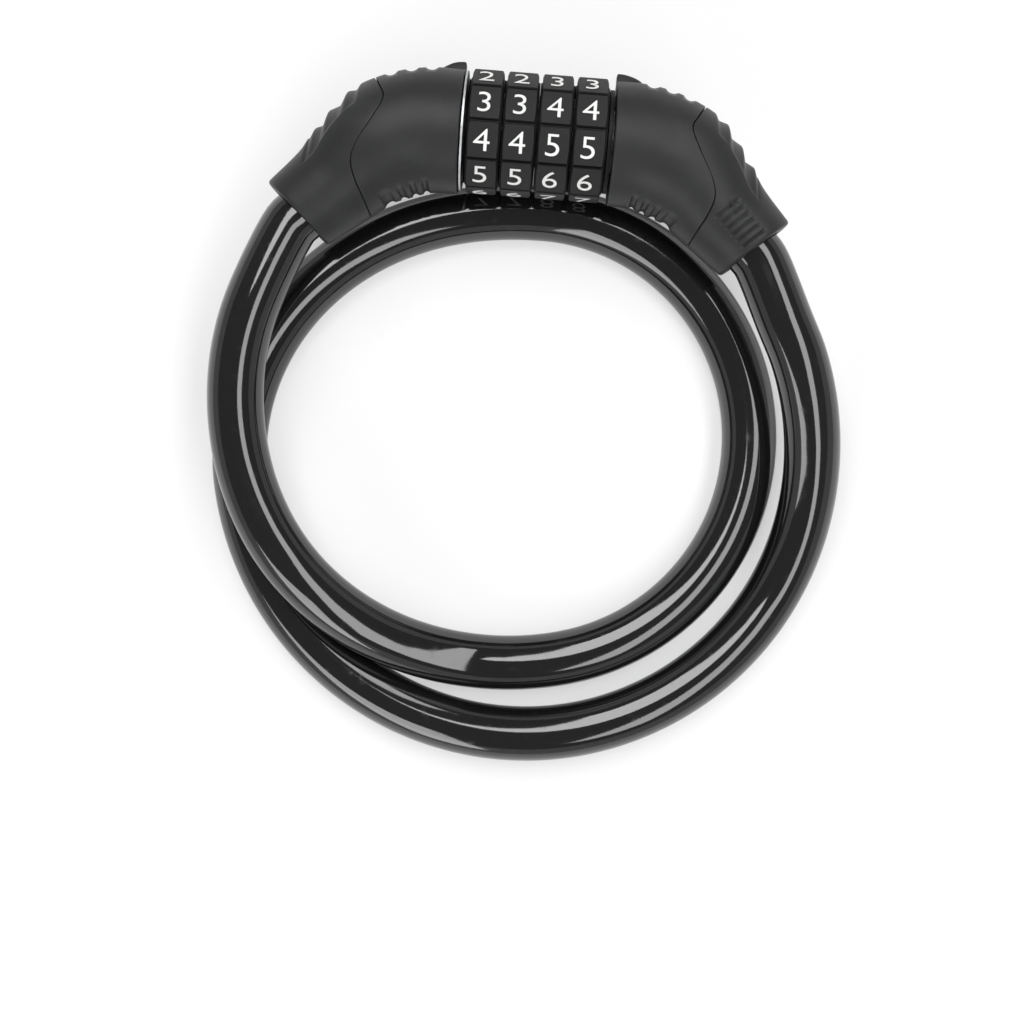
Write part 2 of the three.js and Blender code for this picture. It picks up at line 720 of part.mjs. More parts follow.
function cableCurve(startInset) {
  const points = [STRAIGHT_LENGTH, SLEEVE_LENGTH, startInset].map((d) => cableEnd(-1, d)).reverse();
  for (let i = 0; i <= COIL_STEPS; i++) {
    points.push(coilPoint(COIL_START + ((COIL_END - COIL_START) * i) / COIL_STEPS));
  }
  points.push(...[STRAIGHT_LENGTH, SLEEVE_LENGTH, startInset].map((d) => cableEnd(1, d)));
  const curve = new THREE.CatmullRomCurve3(points, false, "centripetal");
  curve.arcLengthDivisions = 4000;
  return curve;
}

function sweep(curve, radius, sides, floor = -Infinity) {
  const rings = [];
  for (let i = 0; i <= CABLE_RINGS; i++) {
    const place = curve.getPointAt(i / CABLE_RINGS);
    const direction = curve.getTangentAt(i / CABLE_RINGS);
    const ring = ringAbout(place, direction, radius, sides);
    for (const point of ring) point.z = Math.max(point.z, floor);
    rings.push(ring);
  }
  return skinned(rings);
}

function cableJacket() {
  const outer = sweep(cableCurve(FERRULE_END + GAP), CABLE_DIAMETER / 2, CABLE_SIDES, 0);
  const bore = sweep(cableCurve(FERRULE_END - 1), CORE_DIAMETER / 2 + 2 * GAP, CORE_SIDES);
  return cut(outer, bore);
}

const cableCore = () => sweep(cableCurve(FERRULE_FLOOR + GAP), CORE_DIAMETER / 2, CORE_SIDES);

// The least air between stretches of the cable that aren't next to each other along it.
function leastGap(curve) {
  const count = 600;
  const points = curve.getSpacedPoints(count);
  const apart = Math.ceil((4 * CABLE_DIAMETER * count) / curve.getLength());
  let least = Infinity;
  for (let i = 0; i <= count; i++) {
    for (let j = i + apart; j <= count; j++) {
      least = Math.min(least, points[i].distanceTo(points[j]));
    }
  }
  return least - CABLE_DIAMETER;
}

// ---------------------------------------------------------------- assembly

const lock = new THREE.Group();
const head = new THREE.Group();
head.position.set(0, AXIS_Y, AXIS_Z);
lock.add(head);

function add(parent, name, body, material) {
  const mesh = new THREE.Mesh(geometryOf(body), material);
  mesh.name = name;
  parent.add(mesh);
}

// lock body
add(head, "body_cover", mirrored(barrelCover(BODY_FACE_X, BODY_SEAM_SHIFT)), COVER_PLASTIC);
add(head, "body_sleeve", mirrored(cableSleeve(BODY_FACE_X, BODY_SEAM_SHIFT)), COVER_PLASTIC);
add(head, "slotted_barrel", slottedBarrel(), ZINC_STEEL);
add(head, "detent_spring", detentSpring(), SPRING_STEEL);
add(head, "thrust_washer", thrustWasher(), BRIGHT_STEEL);
add(head, "retaining_ring", retainingRing(), SPRING_STEEL);
add(head, "body_rivet", mirrored(rivet()), BRIGHT_STEEL);
add(head, "body_ferrule", mirrored(ferrule()), ZINC_STEEL);

// dials
for (let number = 1; number <= DIAL_COUNT; number++) {
  add(head, `dial_${number}`, dial(number), DIAL_PLASTIC);
  add(head, `clutch_ring_${number}`, clutchRing(number), BRASS);
}

// plug
add(head, "plug_cover", barrelCover(PLUG_FACE_X, [0, 0]), COVER_PLASTIC);
add(head, "plug_sleeve", cableSleeve(PLUG_FACE_X, [0, 0]), COVER_PLASTIC);
add(head, "toothed_pin", toothedPin(), BRIGHT_STEEL);
add(head, "plug_rivet", rivet(), BRIGHT_STEEL);
add(head, "plug_ferrule", ferrule(), ZINC_STEEL);

// cable
add(lock, "cable_jacket", cableJacket(), JACKET_VINYL);
add(lock, "cable_core", cableCore(), ZINC_STEEL);

const route = cableCurve(FERRULE_END + GAP);
console.log(`cable length ${route.getLength().toFixed(1)} mm, least gap to itself ${leastGap(route).toFixed(2)} mm`);

export default lock;
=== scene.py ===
"""A coiling combination cable lock: moulded covers, numbered dials, a glossy cable and steel parts.

Sizes are in millimetres, and MM turns them into metres; those of the stage and in the properties are
in metres. The head's own frame has its origin on the middle of the dials, with X along their axis and
+Y away from the coil. A side of the head is -1 at the lock body and 1 at the plug.
"""

import json
import math

import bmesh
import bpy
import numpy as np
from bpy.props import FloatProperty, FloatVectorProperty, IntProperty, PointerProperty
from mathutils import Euler, Matrix, Vector

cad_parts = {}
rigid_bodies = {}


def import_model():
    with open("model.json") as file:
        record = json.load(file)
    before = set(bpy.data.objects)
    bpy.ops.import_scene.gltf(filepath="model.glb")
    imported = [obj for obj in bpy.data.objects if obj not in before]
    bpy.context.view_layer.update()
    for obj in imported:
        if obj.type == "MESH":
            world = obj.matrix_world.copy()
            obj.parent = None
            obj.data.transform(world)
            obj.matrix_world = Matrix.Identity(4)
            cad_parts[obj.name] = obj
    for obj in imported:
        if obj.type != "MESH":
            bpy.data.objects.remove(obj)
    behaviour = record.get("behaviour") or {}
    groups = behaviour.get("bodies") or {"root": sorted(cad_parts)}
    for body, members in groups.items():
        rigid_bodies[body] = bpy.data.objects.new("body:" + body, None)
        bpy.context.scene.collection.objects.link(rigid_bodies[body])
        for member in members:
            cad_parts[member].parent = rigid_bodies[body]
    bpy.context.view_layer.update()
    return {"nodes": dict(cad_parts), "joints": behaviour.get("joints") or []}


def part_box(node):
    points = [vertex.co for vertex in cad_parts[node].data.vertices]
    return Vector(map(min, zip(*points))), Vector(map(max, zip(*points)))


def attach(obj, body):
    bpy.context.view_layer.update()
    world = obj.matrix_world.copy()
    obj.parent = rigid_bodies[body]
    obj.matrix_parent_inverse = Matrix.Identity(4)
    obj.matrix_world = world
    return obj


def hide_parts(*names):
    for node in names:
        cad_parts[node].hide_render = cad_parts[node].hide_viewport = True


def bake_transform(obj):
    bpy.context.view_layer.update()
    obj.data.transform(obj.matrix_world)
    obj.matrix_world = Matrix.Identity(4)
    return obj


bl_info = {
    "name": "Coiling Combination Cable Lock",
    "version": (1, 0, 0),
    "blender": (4, 5, 0),
    "location": "View3D > Sidebar > Cable Lock",
    "description": "Builds a combination cable lock with its covers, dials, cable and steel parts",
    "category": "Add Mesh",
}

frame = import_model()
MM = 0.001

# ---------------------------------------------------------------- sizes of the cable

AXIS = Vector(next(joint["pos_m"] for joint in frame["joints"] if joint["name"] == "dial_1_turn"))

CABLE_DIAMETER = 12
CORE_DIAMETER = 7
CORE_SIDES = 12
JACKET_PLAY = 0.12  # keeps the finished jacket inside the CAD one's box
CABLE_FLAT = CABLE_DIAMETER / 10  # how far its underside is pressed in on the floor
CABLE_POINTS = 560

# The coil goes by the angle about its middle, in degrees, from the lock body to the plug.
COIL_MIDDLE = (3.5, -51.3)
COIL_START = 156
COIL_END = 750
COIL_STEPS = 74
OUTER_START_RADIUS = 66.1
INNER_RADIUS = 47
UNDER_HEAD_RADIUS = 51.3
OUTER_RADIUS = 62.9
RISEN_RADIUS = 59.7
INTO_SMALL_TURN = (130, 285)
TO_UNDER_HEAD = (290, 450)
OUT_TO_LARGE_TURN = (450, 550)
RISE_TO_PLUG = (690, COIL_END)
CROSSING_HEIGHT = 12.6  # of the cable over its own outer turn
DOWN_TO_CROSSING = (150, 188)
DOWN_TO_FLOOR = (205, 265)

# ---------------------------------------------------------------- sizes of the covers and sleeves

ELBOW_X = 29.6  # where the axes of the dials and of the sleeve would meet
BEND_ANGLE = math.radians(48.6)
BEND_RADIUS = 24
BEND_TANGENT = BEND_RADIUS * math.tan(BEND_ANGLE / 2)
BEND_START_X = ELBOW_X - BEND_TANGENT
BEND_LENGTH = BEND_RADIUS * BEND_ANGLE

# Along the sleeve, from the elbow
FERRULE_END = 14.4
CABLE_INSET = 0.3  # from the ferrule to the jacket's end
SLEEVE_LENGTH = 27.1
STRAIGHT_LENGTH = 29.6  # of the cable, to a little beyond the sleeve's mouth

SLEEVE_BORE = 6.4  # a radius, as the next is
COVER_BORE = 7.4
FACE_X = {-1: 15.1, 1: 16.3}  # the cover's end beside the dials
MOUTH = BEND_LENGTH + (SLEEVE_LENGTH - BEND_TANGENT)  # along the middle line, from the bend's start

# Distances along the middle line, and the flank's distance from that line there
OUTER_FLANK = [(-4, 12.4), (8, 12.5), (16, 12.2), (23, 10.5), (26.5, 9.5), (36.4, 9.35)]
INNER_FLANK = [(-4, 13), (4, 13.1), (14, 12.8), (22, 11.3), (30, 9.8), (36.4, 8.5)]
FLANK_POINTS = 300

FACE_ROUNDING = 0.35
MOUTH_ROUNDING = 0.7
SEAM_ROUNDING = 0.2
ROUNDING_STEPS = 6

# The seam between cover and sleeve in plan, from the outer flank to the inner one
SEAM = [
    (38.2, 16),
    (35.6, 9.2),
    (34.6, 7.2),
    (33.1, 4.4),
    (31.95, 1.8),
    (33.6, -2.7),
    (36.8, -8.5),
    (37.55, -11.8),
    (36.4, -15.5),
    (34.9, -18.2),
    (31.5, -25),
]
SEAM_POINTS = 400
SEAM_SHIFT = {-1: (-1, 1.5), 1: (0, 0)}  # by side of the head
SEAM_GAP = 0.16
SEAM_EARLIEST = 2.0  # along the middle line
SEAM_HALVINGS = 40  # of the stretch that is searched for the seam

# Both corners of each step on the sleeve's outer flank in plan, by side of the head: x, y, x, y
STEPS = {
    -1: [(36.4, 8.1, 37.1, 6.4), (39.1, 6.1, 40.2, 3), (42.8, 1.8, 43.6, -1.3), (45.5, -2, 46.6, -4.8)],
    1: [(37.1, 7.8, 37.8, 6), (40.1, 5.4, 40.7, 2.6), (43.4, 1.1, 43.95, -1.9), (46.3, -3, 46.95, -5.4)],
}
STEP_REACH = (20, 54)  # in x
STEP_SAMPLE = 0.02
STEP_ROUNDING = 0.2
SLEEVE_RADIUS = 9.3
STEP_CREASE = 5.7  # from the sleeve's middle to the straight line where the steps end
STEP_AT_CREASE = 0.25  # share of the steps' depth there
CREASE_FADE = 0.2  # to either side of it

# Grooves for the fingers: 1 is the outer flank, -1 the inner one
OUTER_GRIPS = {-1: [2.2, 5, 7.9], 1: [3.4, 6.1, 8.7]}  # along the middle line, by side of the head
INNER_GRIPS = [6, 11, 16, 21]
GRIP_HALF_WIDTH = {1: 0.9, -1: 1.5}
GRIP_DEPTH = 0.55
GRIP_FADE = {1: (5.5, 8), -1: (4.2, 6.8)}  # heights between which they run out

# The raised mark beside the dials
POINTER_LENGTH = 4.5
POINTER_HEIGHT = 1.7
POINTER_HALF_WIDTH = 1.5
POINTER_FADE = (-0.25, 0.1)  # about its half width
POINTER_FULLNESS = 2.6

NOTCH_COUNT = 6
NOTCH_PITCH = 1.6
NOTCH_MIDDLE = 21.4  # of the row of notches, from the elbow along the sleeve
NOTCH_ACROSS = -0.5  # the row's middle, across the sleeve
NOTCH_HALF_LENGTH = 2.9
NOTCH_END_FADE = (-0.5, 0.4)  # about its half length
NOTCH_HALF_WIDTH = 0.2
NOTCH_DEPTH = 0.4

SOFT_CORNERS = 0.8  # a power that makes a rounded profile fuller
COVER_COLUMNS = 288
COVER_ROWS = 210
INNER_ROWS = 14
COVER_CREASE = 60  # degrees, past which an edge looks sharp

# ---------------------------------------------------------------- sizes of the dials and the washer

DIAL_FACES = 10
DIAL_WIDTH = 6.4
DIAL_CORNER_RADIUS = 13
DIAL_RIM_RADIUS = 12.1  # at the dial's sides, beneath the chamfer
DIAL_CHAMFER = 0.45
CHAMFER_BLEND = 0.1
RIM_ROUNDING = (0.18, 0.14)  # along the axis, and inwards
DIAL_GROOVE_WIDTH = 0.9
DIAL_GROOVE_DEPTH = 0.55
GROOVE_SLOPE = (-0.25, 0.8)  # shares of the groove's half width between which it deepens
DIAL_FACE_TILT = -20
DIAL_BORE = 10.3
DIAL_CREASE = 50  # degrees, past which an edge looks sharp
HUB_RADIUS = 10.9
HUB_WIDTH = 7.12
HUB_FILLET = 0.05
HUB_CHAMFER = 0.1
HUB_PAINTED_SHADE = 0.4  # how far the hub's painted shade, black, reaches beyond it
# where the painted shade on the thrust washer's shoulder begins
WASHER_SHOULDER_X = -14.4

# Rows across the dial, close together near its sides, and columns from a face's middle to its corner
SIDE_WIDTH = 1.3
SIDE_ROWS = 16
MIDDLE_START = 1.6  # from the dial's side
MIDDLE_ROWS = 8
FACE_COLUMNS = 14
GROOVE_COLUMNS = 16
COLUMN_SPLIT = (0.94, 0.95)  # of the face's half angle: the last column on it, and the groove's first

NUMBER_AT_TILT = {1: 4, 2: 4, 3: 5, 4: 5}  # the number that stands on the tilted face of each dial
NUMBER_RELIEF = 0.04
NUMBER_THINNING = -0.006  # of the strokes, for a text height of 1
NUMBER_WIDENING = 1.15
NUMBER_SHIFT = 0.25  # towards the lock body
NUMBER_SMOOTHNESS = 8  # pieces in each curve of the outline

# ---------------------------------------------------------------- sizes of the stage, in metres

FLOOR_REACH = 6.0
FLOOR_DROP = 0.00005  # beneath the cable
BACKDROP_RADIUS = 5.5
BACKDROP_TOP = 2.6
BACKDROP_DROP = 0.01
BACKDROP_SIDES = 64

GLOW_FADE = (0.4, 1.5)  # from the lock's origin
NEAR_GLOW = 0.5  # share of the floor's own white beside the lock, to the camera
NEAR_REFLECTION = 0.1  # the same in reflections
FAR_REFLECTION = 0.4

WORLD_LIGHT = 0.15
LAMPS = {  # place, width and length, turn in degrees, and radiance as a multiple of white
    "Window back left": ((-0.28, 0.5, 1), (0.4, 0.95), 25, 6),
    "Window front left": ((-0.46, -1.7, 0.5), (0.7, 2.3), 0, 4),
    "Strip right": ((0.46, 0.05, 1), (0.38, 2.4), 0, 4.2),
}

CAMERA_PLACE = (0.0016, -0.0658, 0.350)
CAMERA_TURN = 4.5  # degrees
CAMERA_LENS = 55.3  # in millimetres, as the sensor's width is
CAMERA_SENSOR = 36
CAMERA_CLIP = 0.01


# ---------------------------------------------------------------- settings

# What properties of one kind have in common
COLOUR = {"subtype": "COLOR", "size": 3, "min": 0, "max": 1}
SHARE = {"min": 0, "max": 1}
LENGTH = {"subtype": "DISTANCE", "unit": "LENGTH"}


class CoverSettings(bpy.types.PropertyGroup):
    colour: FloatVectorProperty(
        name="Colour",
        description="Colour of the moulded covers and sleeves",
        default=(0.022, 0.0223, 0.0227),
        **COLOUR,
    )
    roughness: FloatProperty(
        name="Roughness", description="Roughness of the moulding", default=0.44, **SHARE
    )


class DialSettings(bpy.types.PropertyGroup):
    colour: FloatVectorProperty(
        name="Colour",
        description="Colour of the dials",
        default=(0.014, 0.014, 0.0146),
        **COLOUR,
    )
    number_colour: FloatVectorProperty(
        name="Number colour",
        description="Colour of the printed numbers",
        default=(0.86, 0.86, 0.84),
        **COLOUR,
    )
    number_height: FloatProperty(
        name="Number height",
        description="Height of the numbers",
        default=0.0044,
        min=0.002,
        max=0.006,
        **LENGTH,
    )


class CableSettings(bpy.types.PropertyGroup):
    diameter: FloatProperty(
        name="Diameter",
        description="Diameter of the covered cable",
        default=CABLE_DIAMETER * MM,
        min=0.006,
        max=0.02,
        **LENGTH,
    )
    colour: FloatVectorProperty(
        name="Colour",
        description="Colour of the jacket",
        default=(0.008, 0.008, 0.008),
        **COLOUR,
    )
    roughness: FloatProperty(
        name="Roughness", description="Roughness of the jacket", default=0.06, **SHARE
    )
    sides: IntProperty(
        name="Sides", description="Sides of the jacket's section", default=48, min=12, max=96
    )


class StageSettings(bpy.types.PropertyGroup):
    floor_colour: FloatVectorProperty(
        name="Floor colour",
        description="Colour of the floor and the backdrop",
        default=(0.93, 0.93, 0.93),
        **COLOUR,
    )
    strength: FloatProperty(
        name="Light", description="Strength of all the lamps together", default=1, min=0, max=5
    )


# ---------------------------------------------------------------- shader and tree helpers


class Value:
    """An output socket whose arithmetic adds Math nodes to its tree."""

    def __init__(self, maker, socket):
        self.maker = maker
        self.socket = socket

    def output(self, name):
        """Another output of the same node."""
        return Value(self.maker, self.socket.node.outputs[name])

    def _math(self, operation, first, second):
        return self.maker.node("ShaderNodeMath", {"operation": operation}, {0: first, 1: second})

    def __add__(self, other):
        return self._math("ADD", self, other)

    def __sub__(self, other):
        return self._math("SUBTRACT", self, other)

    def __mul__(self, other):
        return self._math("MULTIPLY", self, other)

    def __truediv__(self, other):
        return self._math("DIVIDE", self, other)

    def __rsub__(self, other):
        return self._math("SUBTRACT", other, self)

    def __rtruediv__(self, other):
        return self._math("DIVIDE", other, self)

    __radd__ = __add__
    __rmul__ = __mul__

    def within(self, low, high):
        """0 below low, 1 above high, and smooth between."""
        settings = {"interpolation_type": "SMOOTHSTEP"}
        values = {"Value": self, "From Min": low, "From Max": high}
        return self.maker.node("ShaderNodeMapRange", settings, values)


class Maker:
    """Adds nodes to a tree: settings first, then the values or links of the sockets."""

    def __init__(self, tree):
        self.tree = tree

    def node(self, kind, settings=None, values=None, output=0):
        node = self.tree.nodes.new(kind)
        for name, value in (settings or {}).items():
            setattr(node, name, value)
        for name, value in (values or {}).items():
            if isinstance(value, Value):
                self.tree.links.new(value.socket, node.inputs[name])
            else:
                node.inputs[name].default_value = value
        return Value(self, node.outputs[output]) if len(node.outputs) else node


def new_material(name):
    """An empty material and the maker of its nodes."""
    material = bpy.data.materials.new(name)
    material.use_nodes = True
    material.node_tree.nodes.clear()
    return material, Maker(material.node_tree)


def close(maker, shader):
    """Ends a material's tree with a shader."""
    maker.node("ShaderNodeOutputMaterial", None, {"Surface": shader})


def surfaced(material, maker, values):
    """The material, closed with one Principled shader."""
    close(maker, maker.node("ShaderNodeBsdfPrincipled", None, values))
    return material


def rgb(colour, times=1):
    """A colour with its alpha, made lighter or darker by a factor."""
    return (*(times * part for part in colour), 1)


def object_place(maker):
    """Object coordinates, which are the place in metres, as each piece's origin is the frame's."""
    return maker.node("ShaderNodeTexCoord", output="Object")


def noise(maker, place, scale, detail):
    """Noise with about as many lumps as its scale to each unit of the place."""
    values = {"Vector": place, "Scale": scale, "Detail": detail}
    return maker.node("ShaderNodeTexNoise", None, values)


# The sockets of a Mix node that mixes colours, which share their names with its other ones
MIX_FACTOR, MIX_FIRST, MIX_SECOND, MIX_RESULT = 0, 6, 7, 2


def mixed(maker, factor, first, second):
    """A colour between two, by a factor from 0 to 1."""
    values = {MIX_FACTOR: factor, MIX_FIRST: first, MIX_SECOND: second}
    return maker.node("ShaderNodeMix", {"data_type": "RGBA"}, values, MIX_RESULT)


def bumped(maker, height, distance, strength, normal=None):
    """The surface's own normal, or a given one, bumped by a height from 0 to 1 times a distance."""
    values = {"Height": height, "Distance": distance * MM, "Strength": strength}
    if normal is not None:
        values["Normal"] = normal
    return maker.node("ShaderNodeBump", None, values)


# ---------------------------------------------------------------- materials


def moulded_plastic(name, colour, roughness, grain, unevenness, painted_shade_within=None):
    """Moulded plastic with an eroded grain and flow marks, and painted shade: black within a distance of
    the dial axis.
    """
    material, maker = new_material(name)
    place = object_place(maker)
    fine = noise(maker, place, grain, 3)
    patches = noise(maker, place, 120, 3)
    clouds = noise(maker, place, 34, 2)
    rubbed = patches.within(0.55, 0.75) * 0.5
    tone = mixed(maker, rubbed + fine * 0.25, rgb(colour), rgb(colour, 1.45))
    # painted shade: black near the dial axis, where the hubs and the gaps between the dials lie in shade
    if painted_shade_within is not None:
        flat = maker.node("ShaderNodeMapping", None, {"Vector": place, "Scale": (0, 1, 1)})
        middle = {0: flat, 1: (0, AXIS.y, AXIS.z)}
        distance = maker.node("ShaderNodeVectorMath", {"operation": "DISTANCE"}, middle, "Value")
        fade = 0.8
        unshaded = distance.within(painted_shade_within * MM, (painted_shade_within + fade) * MM)
        tone = mixed(maker, unshaded, rgb((0, 0, 0)), tone)
    grainy = bumped(maker, fine + patches * 0.6, 0.04, unevenness)
    values = {
        "Base Color": tone,
        "Roughness": roughness - 0.07 + clouds * 0.1 + fine * 0.06,
        "Normal": bumped(maker, clouds, 0.4, 0.12, grainy),
        "Specular IOR Level": 0.26,
    }
    return surfaced(material, maker, values)


def glossy_vinyl(name, colour, roughness):
    """Extruded vinyl: a deep gloss that ripples a little, with faint scuffs."""
    material, maker = new_material(name)
    place = object_place(maker)
    ripple = noise(maker, place, 55, 2)
    scuffs = noise(maker, place, 420, 4)
    fine = noise(maker, place, 2600, 2)
    worn = scuffs.within(0.56, 0.8)
    rippled = bumped(maker, ripple, 0.6, 0.1)
    values = {
        "Base Color": mixed(maker, worn * 0.5, rgb(colour), rgb(colour, 1.8)),
        "Roughness": roughness + worn * 0.12 + fine * 0.03,
        "Normal": bumped(maker, fine, 0.01, 0.25, rippled),
        "IOR": 1.72,
    }
    return surfaced(material, maker, values)


def printed_white(name, colour):
    """Thick matt ink, a little uneven."""
    material, maker = new_material(name)
    fine = noise(maker, object_place(maker), 1800, 3)
    values = {
        "Base Color": mixed(maker, fine.within(0.3, 0.7), rgb(colour, 0.93), rgb(colour)),
        "Roughness": 0.5 + fine * 0.1,
        "Normal": bumped(maker, fine, 0.02, 0.3),
    }
    return surfaced(material, maker, values)


def turned_metal(name, colour, roughness, lines, painted_shade_from=None):
    """Metal with fine marks round the dial axis and small stains, and painted shade: black beyond a
    given X.
    """
    material, maker = new_material(name)
    place = object_place(maker)
    stretched = maker.node("ShaderNodeMapping", None, {"Vector": place, "Scale": (lines, 60, 60)})
    marks = noise(maker, stretched, 1, 2)
    stains = noise(maker, place, 300, 3)
    tone = mixed(maker, stains.within(0.45, 0.75) * 0.6, rgb(colour), rgb(colour, 0.72))
    if painted_shade_from is not None:
        # painted shade: black beyond the given X, where the part lies in shade
        x = maker.node("ShaderNodeSeparateXYZ", None, {"Vector": place})
        fade = 0.02
        beyond = x.within((painted_shade_from - fade) * MM, (painted_shade_from + fade) * MM)
        tone = mixed(maker, beyond, tone, rgb((0.008, 0.008, 0.008)))
    values = {
        "Base Color": tone,
        "Roughness": roughness + marks * 0.16 + stains * 0.1,
        "Metallic": 1.0,
        "Normal": bumped(maker, marks, 0.02, 0.4),
    }
    return surfaced(material, maker, values)


# ---------------------------------------------------------------- shape helpers


def ease(value, start, end):
    """0 before start, 1 after end, and smooth between."""
    share = np.clip((value - start) / (end - start), 0, 1)
    return share * share * (3 - 2 * share)


def through(points, count, samples=60):
    """Evenly spaced points on a smooth curve through the given ones, sampled on each span."""
    points = np.array(points, float)
    line = np.vstack([2 * points[0] - points[1], points, 2 * points[-1] - points[-2]])
    steps = np.linalg.norm(np.diff(line, axis=0), axis=1)[:, None] ** 0.5
    before, here, after = steps[:-2], steps[1:-1], steps[2:]
    p0, p1, p2, p3 = line[:-3], line[1:-2], line[2:-1], line[3:]
    start = ((p1 - p0) / before - (p2 - p0) / (before + here) + (p2 - p1) / here) * here
    end = ((p2 - p1) / here - (p3 - p1) / (here + after) + (p3 - p2) / after) * here
    t = np.linspace(0, 1, samples, endpoint=False)[:, None, None]
    weights = (2 * t**3 - 3 * t**2 + 1, t**3 - 2 * t**2 + t, 3 * t**2 - 2 * t**3, t**3 - t**2)
    fine = sum(weight * part for weight, part in zip(weights, (p1, start, p2, end)))
    fine = np.vstack([fine.transpose(1, 0, 2).reshape(-1, points.shape[1]), points[-1:]])
    along = np.concatenate([[0], np.cumsum(np.linalg.norm(np.diff(fine, axis=0), axis=1))])
    wanted = np.linspace(0, along[-1], count)
    return np.stack([np.interp(wanted, along, column) for column in fine.T], axis=1)


def add_object(name, data):
    """A new object in the scene."""
    piece = bpy.data.objects.new(name, data)
    bpy.context.scene.collection.objects.link(piece)
    return piece


def mesh_object(name, vertices, faces, material=None, edges=()):
    """A new object from vertices in metres, in the frame that all parts share."""
    mesh = bpy.data.meshes.new(name)
    mesh.from_pydata(vertices, edges, faces)
    mesh.update()
    if material is not None:
        mesh.materials.append(material)
    return add_object(name, mesh)


def used_up(source):
    """The mesh that an object comes to with its modifiers. The object itself is removed."""
    evaluated = source.evaluated_get(bpy.context.evaluated_depsgraph_get())
    mesh = bpy.data.meshes.new_from_object(evaluated)
    bpy.data.objects.remove(source)
    return mesh


def face_outward(mesh):
    """Turns the faces of a closed mesh outwards."""
    shape = bmesh.new()
    shape.from_mesh(mesh)
    bmesh.ops.recalc_face_normals(shape, faces=shape.faces)
    if shape.calc_volume(signed=True) < 0:
        bmesh.ops.reverse_faces(shape, faces=shape.faces)
    shape.to_mesh(mesh)
    shape.free()


def smooth_up_to(mesh, crease):
    """Smooth shading, sharp across edges steeper than an angle in degrees."""
    mesh.shade_smooth()
    mesh.set_sharp_from_angle(angle=math.radians(crease))


def ring_shell(name, rows, material):
    """A closed shell from a loop of rings, each a loop of points in the head's frame."""
    count, columns = rows.shape[:2]
    first = np.arange(count * columns).reshape(count, columns)
    down = np.roll(first, -1, axis=0)
    quads = np.stack([first, np.roll(first, -1, axis=1), np.roll(down, -1, axis=1), down], axis=-1)
    points = rows.reshape(-1, 3) * MM + np.array(AXIS)
    piece = mesh_object(name, points.tolist(), quads.reshape(-1, 4).tolist(), material)
    face_outward(piece.data)
    smooth_up_to(piece.data, COVER_CREASE)
    return piece


# ---------------------------------------------------------------- geometry node trees


class Tree(Maker):
    """A geometry node tree with named inputs."""

    def __init__(self, name, inputs):
        super().__init__(bpy.data.node_groups.new(name, "GeometryNodeTree"))
        for way in ("OUTPUT", "INPUT"):
            self.tree.interface.new_socket("Geometry", in_out=way, socket_type="NodeSocketGeometry")
        for label, kind in inputs:
            self.tree.interface.new_socket(label, in_out="INPUT", socket_type="NodeSocket" + kind)
        self.entry = self.tree.nodes.new("NodeGroupInput")

    def given(self, label):
        return Value(self, self.entry.outputs[label])

    def finish(self, geometry):
        self.node("NodeGroupOutput", None, {"Geometry": geometry})


def grown(name, source, tree, values):
    """A plain mesh object that a tree makes out of a source object."""
    modifier = source.modifiers.new("Grow", "NODES")
    modifier.node_group = tree.tree
    for item in tree.tree.interface.items_tree:
        if item.in_out == "INPUT" and item.name in values:
            modifier[item.identifier] = values[item.name]
    mesh = used_up(source)
    mesh.name = name
    return add_object(name, mesh)


def swept_tube_tree():
    """A round tube along a chain of edges, flattened where it lies on the floor."""
    inputs = [("Radius", "Float"), ("Sides", "Int"), ("Floor", "Float"), ("Material", "Material")]
    tree = Tree("Swept tube", inputs)
    line = tree.node("GeometryNodeMeshToCurve", None, {"Mesh": tree.given("Geometry")})
    section = {"Resolution": tree.given("Sides"), "Radius": tree.given("Radius")}
    circle = tree.node("GeometryNodeCurvePrimitiveCircle", {"mode": "RADIUS"}, section)
    tube = {"Curve": line, "Profile Curve": circle, "Fill Caps": True}
    swept = tree.node("GeometryNodeCurveToMesh", None, tube)
    place = tree.node("ShaderNodeSeparateXYZ", None, {"Vector": tree.node("GeometryNodeInputPosition")})
    heights = {0: place.output("Z"), 1: tree.given("Floor")}
    lifted = tree.node("ShaderNodeMath", {"operation": "MAXIMUM"}, heights)
    lying = {"X": place.output("X"), "Y": place.output("Y"), "Z": lifted}
    lying = tree.node("ShaderNodeCombineXYZ", None, lying)
    laid = tree.node("GeometryNodeSetPosition", None, {"Geometry": swept, "Position": lying})
    smooth = tree.node("GeometryNodeSetShadeSmooth", None, {"Geometry": laid})
    whole = tree.node("GeometryNodeRealizeInstances", None, {"Geometry": smooth})
    covered = {"Geometry": whole, "Material": tree.given("Material")}
    tree.finish(tree.node("GeometryNodeSetMaterial", None, covered))
    return tree


